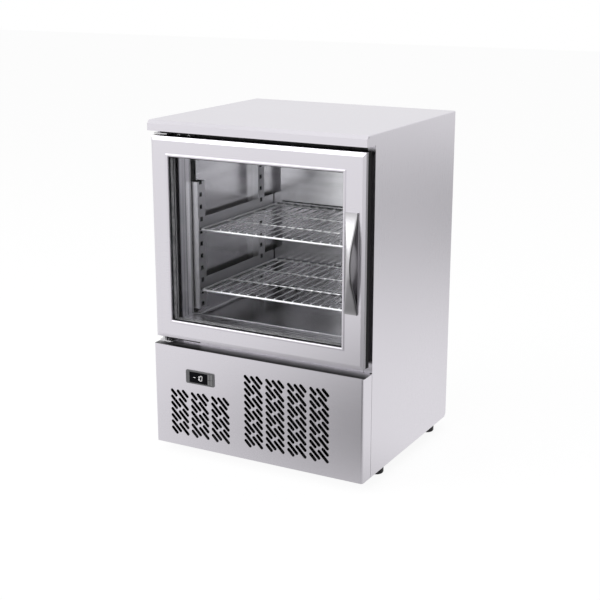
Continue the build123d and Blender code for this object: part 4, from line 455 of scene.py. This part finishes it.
# black painted shade round the middle of each slot
rim_shade = reckon(tree, "COMPARE", rise, 0.5, RIM_SHADE_REACH)
for front in (pilaster_low.y, pilaster_high.y - CHANNEL_WIDTH):
    width = (front + CHANNEL_WALL, front + CHANNEL_WIDTH - CHANNEL_WALL)
    # black painted shade inside the channel
    face_black(tree, inside(tree, x=(CHANNEL_INSIDE, None), y=width, mirrored=True))
    slot_row = inside(tree, y=tuple(front + edge for edge in SLOT_ROW))
    face_black(tree, reckon(tree, "MULTIPLY", rim_shade, slot_row))
dress(pilaster_steel, "pilasters_left", "pilasters_right", "shelf_runners")


# Thermal breaks. Black extruded PVC strips between the cold liner and the warm opening frame. The plugs in the
# spare hinge holes and the cord's gland at the back are moulded in black plastic too.
def moulded_plastic(name, tone, shine, grain=900.0, depth=0.00006, gloss=0.2):
    """Moulded plastic: a fine spark-eroded grain, a little greyer on its high spots."""
    material, tree, surface = new_finish(name, Specular_IOR_Level=gloss)
    pits = noise(tree, grain, 2.0)
    bright = tuple(c * 1.35 + 0.002 for c in tone)
    tree.links.new(blend_tones(tree, spread(tree, pits, 0, 1), tone, bright), surface.inputs["Base Color"])
    tree.links.new(spread(tree, pits, shine + 0.06, shine - 0.06), surface.inputs["Roughness"])
    raise_grain(tree, surface, pits, depth, 0.6)
    return material


black_plastic = moulded_plastic("black moulded plastic", (0.012, 0.012, 0.013), 0.45)
dress(black_plastic, "thermal_break_strips", "hinge_hole_plugs", "cord_gland")


# Shelves. Welded steel wire, chromed bright: two long frame wires, cross wires under them and the fine wires on
# top. Each lies loose on its two runners.
def bright_chrome(name, tone, shine):
    """Chrome over drawn wire: a soft mirror, hazed by fine drawing marks."""
    material, tree, surface = new_finish(name, Metallic=0.85)
    marks = noise(tree, 600.0, 2.0)
    tree.links.new(spread(tree, marks, shine - 0.04, shine + 0.05), surface.inputs["Roughness"])
    dark = tuple(c * 0.93 for c in tone)
    tree.links.new(blend_tones(tree, spread(tree, marks, 0, 1), dark, tone), surface.inputs["Base Color"])
    raise_grain(tree, surface, marks, 0.00002, 0.3)
    return material


dress(bright_chrome("chromed wire", (0.98, 0.97, 0.99), 0.3), "shelf_upper", "shelf_lower")

# Door. A pressed stainless frame with bevelled edges round a glass unit of two panes. A black plastic inner frame
# closes its back and holds the panes, the spacer and the black glazing line. Painted shade darkens the skin's
# right side.
DOOR_SIDE = 0.0004
PAINTED_SHADE_SHARE = 0.55
door_steel = ground_steel("stainless door skin with painted shade", 0, STEEL, 0.31)
# painted shade on the skin's right side, half way to black
side = inside(door_steel.node_tree, x=(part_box("door_frame")[1].x - DOOR_SIDE, None))
face_black(door_steel.node_tree, reckon(door_steel.node_tree, "MULTIPLY", side, PAINTED_SHADE_SHARE))
dress(door_steel, "door_frame")

# The window edge of the inner frame is grey, as the spacer's seal is, so only the glazing line is black.
WINDOW_HALF = 0.2425
WINDOW_INSET = 0.006
inner_frame = moulded_plastic("black inner frame with a grey window edge", (0.005, 0.005, 0.0055), 0.5, gloss=0.04)
seal_low, seal_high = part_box("glazing_seal")
window_height = (seal_low.z + WINDOW_INSET, seal_high.z - WINDOW_INSET)
window_edge = inside(inner_frame.node_tree, x=(None, WINDOW_HALF), z=window_height, mirrored=True)
tint(inner_frame.node_tree, window_edge, (0.5, 0.494, 0.512, 1))
dress(inner_frame, "door_back_frame")


def pane_glass(name):
    """Clear glass with a coat against reflections, which lets lamps through, with a faint unevenness."""
    material, tree, surface = new_finish(
        name, Base_Color=(0.985, 0.992, 0.99, 1), Transmission_Weight=1.0, IOR=1.1
    )
    tree.links.new(spread(tree, noise(tree, 9.0, 2.0), 0.0, 0.006), surface.inputs["Roughness"])
    clear = add_node(tree, "BsdfTransparent", {"Color": (0.96, 0.965, 0.965, 1)})
    lamp_ray = add_node(tree, "LightPath").outputs["Is Shadow Ray"]
    both = add_node(tree, "MixShader", {0: lamp_ray, 1: surface.outputs[0], 2: clear.outputs[0]})
    tree.links.new(both.outputs[0], next(n for n in tree.nodes if n.type == "OUTPUT_MATERIAL").inputs["Surface"])
    return material


dress(pane_glass("clear float glass"), "glass_outer", "glass_inner")


def rubber(name, tone, shine):
    """Rubber: a dusty, slightly blotched matt skin."""
    material, tree, surface = new_finish(name, Specular_IOR_Level=0.12)
    bloom = noise(tree, 60.0, 4.0)
    bright = tuple(c * 2.0 + 0.004 for c in tone)
    tree.links.new(blend_tones(tree, spread(tree, bloom, 0, 1), tone, bright), surface.inputs["Base Color"])
    tree.links.new(spread(tree, bloom, shine, shine + 0.15), surface.inputs["Roughness"])
    raise_grain(tree, surface, noise(tree, 700.0, 2.0), 0.00005, 0.5)
    return material


black_rubber = rubber("black rubber", (0.008, 0.008, 0.009), 0.55)
dress(black_rubber, "glazing_seal", "compressor_grommets")
dress(rubber("grey spacer seal", (0.25, 0.246, 0.256), 0.5), "glass_spacer")


# Door gasket. A soft black extrusion welded into a frame: a foot that clips into the inner frame, two bellows
# folds and a hollow bar with the magnet, which meets the body.
def swept_frame(profile, low, high):
    """A closed profile of (inset, depth) points carried round a rectangle with mitred corners.
    Each profile point makes a smaller rectangle: its corners are the outer ones moved in by the inset."""
    inset, depth = profile[:, 0], profile[:, 1]
    x = np.stack([low[0] + inset, high[0] - inset, high[0] - inset, low[0] + inset], 1)
    z = np.stack([low[1] + inset, low[1] + inset, high[1] - inset, high[1] - inset], 1)
    y = np.repeat(depth[:, None], 4, 1)
    return np.stack([x, y, z], 2)


def joined_grid(rows, columns, rows_close, columns_close):
    """Faces of a grid of points, row by row, closed on itself along either side where asked."""
    i, j = np.meshgrid(np.arange(rows - (not rows_close)), np.arange(columns - (not columns_close)), indexing="ij")
    i, j = i.ravel(), j.ravel()
    down, over = (i + 1) % rows, (j + 1) % columns
    return np.stack([i * columns + j, i * columns + over, down * columns + over, down * columns + j], 1)


GASKET_PROFILE = np.array(
    [
        (0.0000, 0.0000), (0.0012, 0.0026), (0.0034, 0.0038), (0.0012, 0.0052), (0.0005, 0.0066), (0.0018, 0.0080),
        (0.0026, 0.0094), (0.0024, 0.0128), (0.0034, 0.0141), (0.0068, 0.0143), (0.0104, 0.0141), (0.0114, 0.0128),
        (0.0112, 0.0094), (0.0122, 0.0080), (0.0135, 0.0066), (0.0128, 0.0052), (0.0106, 0.0038), (0.0128, 0.0026),
        (0.0140, 0.0000),
    ]
)
GASKET_NARROWED = 0.86
GASKET_INSET = 0.002
gasket_line = GASKET_PROFILE * (GASKET_NARROWED, 1) + (GASKET_INSET, gasket_low.y)
rings = swept_frame(gasket_line, (gasket_low.x, gasket_low.z), (gasket_high.x, gasket_high.z))
gasket_faces = joined_grid(len(rings), 4, True, True)[:, ::-1].tolist()
gasket = mesh_piece("gasket_bellows", rings, gasket_faces, smooth=False)
gasket.data.materials.append(black_rubber)
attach(gasket, "door")
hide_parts("door_gasket")


# Handle. Folded from one stainless sheet: a plate studded to the door and, round a tight fold at its left, a
# blade whose free edge bows out and narrows in the middle, so fingers reach behind it.
HANDLE_ROWS = 97
PLATE = 0.0015
BLADE = 0.002
BOW = 0.030
NARROWING = 0.005
BOW_POWER = 1.6
BLADE_POINTS = 14
CROWDING = 1.6
BEND = 0.48
LIP_START = 0.925
LIP_DROP = 0.0015
EDGE_BULGE = 0.0006
PLATE_POINTS = 6
PLATE_START = 0.0022
FOLD = ((0.0, -0.0008), (0.0, -0.0027))
STUD_LENGTH = 0.009
BLADE_SHADE_HEIGHT = 0.13
handle_low, handle_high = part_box("door_handle")


def blade_line(bow, reach, offset):
    """Points across the blade, offset off its outer face: a slanted wall rises from the fold, and after a soft
    bend the blade runs level to a lip that turns back 1.5 mm along its free edge.
    The lift is bow * u / (1 + u**6)**(1/6), with u the place over 0.48 of the bow."""
    share = np.append(LIP_START * np.linspace(0, 1, BLADE_POINTS - 1) ** CROWDING, 1.0)
    place = reach[:, None] * share[None, :]
    u = place / (BEND * bow[:, None] + 1e-6)
    lift = bow[:, None] * u / (1 + u**6) ** (1 / 6)
    lift[:, -1] -= np.minimum(LIP_DROP, 0.5 * bow)
    return np.stack([place, -PLATE - BLADE - lift + offset], 2)


def plate_line(start, stop, depth):
    """Points across the plate at one depth, the same in every row."""
    line = np.stack([np.linspace(start, stop, PLATE_POINTS), np.full(PLATE_POINTS, depth)], 1)
    return line[None].repeat(HANDLE_ROWS, 0)


def handle_surface():
    """Rows up the handle; in each row a closed line goes round the fold, out and back round the blade, and round
    the plate. The bow is 30 mm times the sine of the height's share to the power 1.6, and the reach shrinks with
    it. The rows stand closer at both ends, by half of 1 less the cosine of the row's share of a half turn."""
    part = 0.5 - 0.5 * np.cos(np.pi * np.linspace(0, 1, HANDLE_ROWS))
    share = np.sin(np.pi * part).clip(0) ** BOW_POWER
    wide = handle_high.x - handle_low.x
    bow, reach = BOW * share, wide - NARROWING * share
    fold = np.array(FOLD)[None].repeat(HANDLE_ROWS, 0)
    outer = blade_line(bow, reach, 0.0)
    inner = blade_line(bow, reach, BLADE)[:, ::-1]
    edge = (outer[:, -1] + inner[:, 0])[:, None] / 2 + np.array([EDGE_BULGE, 0])
    inner = inner[:, :-1]
    inner[..., 1] = np.minimum(inner[..., 1], -PLATE)
    plate = [plate_line(PLATE_START, wide, -PLATE), plate_line(wide, 0.0, 0.0)]
    loop = np.concatenate([fold, outer, edge, inner, *plate], 1)
    height = handle_low.z + part * (handle_high.z - handle_low.z)
    points = np.concatenate([loop, np.repeat(height[:, None, None], loop.shape[1], 1)], 2)
    points[..., 0] += handle_low.x
    points[..., 1] += handle_high.y - STUD_LENGTH
    return points


handle_points = handle_surface()
around = handle_points.shape[1]
handle_faces = joined_grid(HANDLE_ROWS, around, False, True).tolist()
handle_faces += [list(range(around))[::-1], [(HANDLE_ROWS - 1) * around + i for i in range(around)]]
handle = mesh_piece("handle_blade", handle_points, handle_faces)
handle.data.set_sharp_from_angle(angle=radians(35))
blade_steel = ground_steel("stainless steel blade", 2, (0.53, 0.522, 0.54), 0.3)
tree = blade_steel.node_tree
# painted shade darkens the blade's lower end
painted_shade = spread(tree, coordinate(tree, 2), 0.5, 0.0, handle_low.z, handle_low.z + BLADE_SHADE_HEIGHT)
tint(tree, painted_shade, (0.25, 0.246, 0.256, 1))
handle.data.materials.append(blade_steel)
# the lip and the free edge carry dark painted shade
handle.data.materials.append(zinc_plating("sheared edge with painted shade", 900.0, (0.12, 0.118, 0.124), 0.45))
# in each row the lip and the two faces of the edge come after the fold's two and twelve of the blade's points
shaded_columns = [BLADE_POINTS + i for i in range(3)]
shaded_faces = np.isin(np.arange((HANDLE_ROWS - 1) * around) % around, shaded_columns)
handle.data.polygons.foreach_set("material_index", np.append(shaded_faces, [False, False]).astype(int))
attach(handle, "door")
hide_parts("door_handle")

# Hinge bushes. White nylon collars, moulded and pressed into the door's top and bottom. They turn on the pins of
# the hinge brackets.
dress(moulded_plastic("white nylon", (0.55, 0.55, 0.53), 0.35, 500.0), "hinge_bushes")

# Controller. A grey moulded case with a bezel, four push keys of the same plastic, and a dark window in front of
# a plain seven-segment display.
CONTROLLER_GRAIN = 1200.0
dress(moulded_plastic("grey moulded plastic", (0.15, 0.15, 0.155), 0.4, CONTROLLER_GRAIN), "controller_housing")
key_plastic = moulded_plastic("grey key plastic", (0.22, 0.22, 0.225), 0.38, CONTROLLER_GRAIN)
dress(key_plastic, "key_up", "key_down", "key_set", "key_defrost")
window, tree, surface = new_finish(
    "dark display window", Specular_IOR_Level=0.03, Base_Color=(0.006, 0.006, 0.008, 1)
)
tree.links.new(spread(tree, noise(tree, 80.0), 0.12, 0.2), surface.inputs["Roughness"])
dress(window, "controller_screen")

DIGIT_HEIGHT = 0.0125
DIGIT_WIDTH = 0.0068
SEGMENT = 0.0014
TIP_GAP = 0.0002
SLANT = 0.1
PROUD = 0.00012
SUNK = 0.0003
# the two ends of each segment, as shares of the digit's width and height from its middle
SEGMENTS = {
    "top": ((-1, 1), (1, 1)), "middle": ((-1, 0), (1, 0)), "bottom": ((-1, -1), (1, -1)),
    "upper_left": ((-1, 0), (-1, 1)), "upper_right": ((1, 0), (1, 1)),
    "lower_left": ((-1, -1), (-1, 0)), "lower_right": ((1, -1), (1, 0)),
}
# each digit with its shift from the middle of the window and its lit segments
DIGITS = (
    (-0.0118, ("middle",)),
    (-0.0022, ("upper_right", "lower_right")),
    (0.0074, ("top", "bottom", "upper_left", "upper_right", "lower_left", "lower_right")),
)


def segment_points(centre_x, centre_z, ends, front, back):
    """A bar with pointed ends: six corners in the front plane and the same six in the back plane, each moved to
    the right by a tenth of its height over the digit's middle."""
    size = np.array([DIGIT_WIDTH, DIGIT_HEIGHT]) / 2
    start, stop = (np.array(end) * size for end in ends)
    line = (stop - start) / np.linalg.norm(stop - start)
    across = np.array([-line[1], line[0]])
    start, stop = start + line * TIP_GAP, stop - line * TIP_GAP
    half = SEGMENT / 2
    loop = np.array([start, start + half * (line + across), stop - half * (line - across), stop,
                     stop - half * (line + across), start + half * (line - across)])
    x = centre_x + loop[:, 0] + SLANT * loop[:, 1]
    z = centre_z + loop[:, 1]
    return np.concatenate([np.stack([x, np.full(6, y), z], 1) for y in (front, back)])


screen_low, screen_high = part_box("controller_screen")
screen_mid = (screen_low + screen_high) / 2
bars = [
    segment_points(screen_mid.x + shift, screen_mid.z, SEGMENTS[name], screen_low.y - PROUD, screen_low.y + SUNK)
    for shift, names in DIGITS for name in names
]
bar_faces = [[0, 1, 2, 3, 4, 5], [11, 10, 9, 8, 7, 6]]
bar_faces += [[i, i + 6, (i + 1) % 6 + 6, (i + 1) % 6] for i in range(6)]
digit_faces = [[corner + 12 * bar for corner in face] for bar in range(len(bars)) for face in bar_faces]
digits = mesh_piece("display_digits", bars, digit_faces, smooth=False)
glowing, tree, surface = new_finish(
    "lit display segments", Base_Color=(0.7, 0.7, 0.7, 1), Emission_Color=(1, 0.98, 1, 1), Emission_Strength=0.5
)
tree.links.new(spread(tree, noise(tree, 400.0), 0.3, 0.45), surface.inputs["Roughness"])
digits.data.materials.append(glowing)
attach(digits, "cabinet")


# Cooling parts inside. The evaporator's coil is rolled aluminium. Its drip tray, the evaporation tray, the
# compressor's terminal box and the motors' shells are black plastic, and the fan wheels glass-filled plastic.
def mill_aluminium(name, tone, shine):
    """Rolled aluminium: long fine rolling marks and a soft sheen."""
    material, tree, surface = new_finish(name, Metallic=1.0)
    marks = noise(tree, (40.0, 800.0, 40.0))
    tree.links.new(spread(tree, marks, shine - 0.06, shine + 0.08), surface.inputs["Roughness"])
    dark = tuple(c * 0.88 for c in tone)
    tree.links.new(blend_tones(tree, spread(tree, marks, 0, 1), dark, tone), surface.inputs["Base Color"])
    raise_grain(tree, surface, marks, 0.00003, 0.4)
    return material


dress(mill_aluminium("mill aluminium", (0.72, 0.72, 0.735), 0.34), "evaporator_coil")
dress(black_plastic, "evaporator_drip_tray", "evaporation_tray", "compressor_terminal_box")
motor_shell = moulded_plastic("black motor shell", (0.02, 0.02, 0.022), 0.35, 600.0)
dress(motor_shell, "condenser_fan_motor", "evaporator_fan_motor")
fan_plastic = moulded_plastic("dark fan plastic", (0.05, 0.05, 0.055), 0.4, 500.0)
dress(fan_plastic, "condenser_fan_blades", "evaporator_fan_blades")


# Compressor and condenser coil. The drawn and welded steel shell and the coil's tubes and fins are under black
# paint, which pools into a light orange peel.
def shell_paint(name, tone):
    """Gloss paint on a rough shell: a slow orange peel with a hard gloss."""
    material, tree, surface = new_finish(name, Coat_Weight=0.3, Coat_Roughness=0.1)
    peel = noise(tree, 260.0, 2.0)
    bright = tuple(c * 1.8 for c in tone)
    tree.links.new(blend_tones(tree, spread(tree, peel, 0, 1), tone, bright), surface.inputs["Base Color"])
    tree.links.new(spread(tree, peel, 0.28, 0.42), surface.inputs["Roughness"])
    raise_grain(tree, surface, peel, 0.0002, 0.6)
    return material


dress(shell_paint("black shell paint", (0.012, 0.012, 0.013)), "compressor", "condenser_coil")


# Pipes and drier. Soft copper tube, bent by hand, and a spun copper drier. Both are dulled and reddened by the
# brazing that joins them.
def tube_copper(name, burnt, pink):
    """Copper: pink metal with brown patches where the torch has heated it."""
    material, tree, surface = new_finish(name, Metallic=1.0)
    patches = noise(tree, 22.0, 4.0)
    tree.links.new(blend_tones(tree, spread(tree, patches, 0, 1), burnt, pink), surface.inputs["Base Color"])
    tree.links.new(spread(tree, patches, 0.46, 0.26), surface.inputs["Roughness"])
    raise_grain(tree, surface, noise(tree, 500.0), 0.00004, 0.4)
    return material


dress(tube_copper("brazed copper", (0.36, 0.14, 0.07), (0.8, 0.42, 0.27)), "filter_drier", "refrigerant_pipes")

# Feet. Round black feet, moulded on threaded studs that screw into the base tray. Each is turned by hand to level
# the case.
dress(black_plastic, "foot_front_left", "foot_front_right", "foot_rear_left", "foot_rear_right")
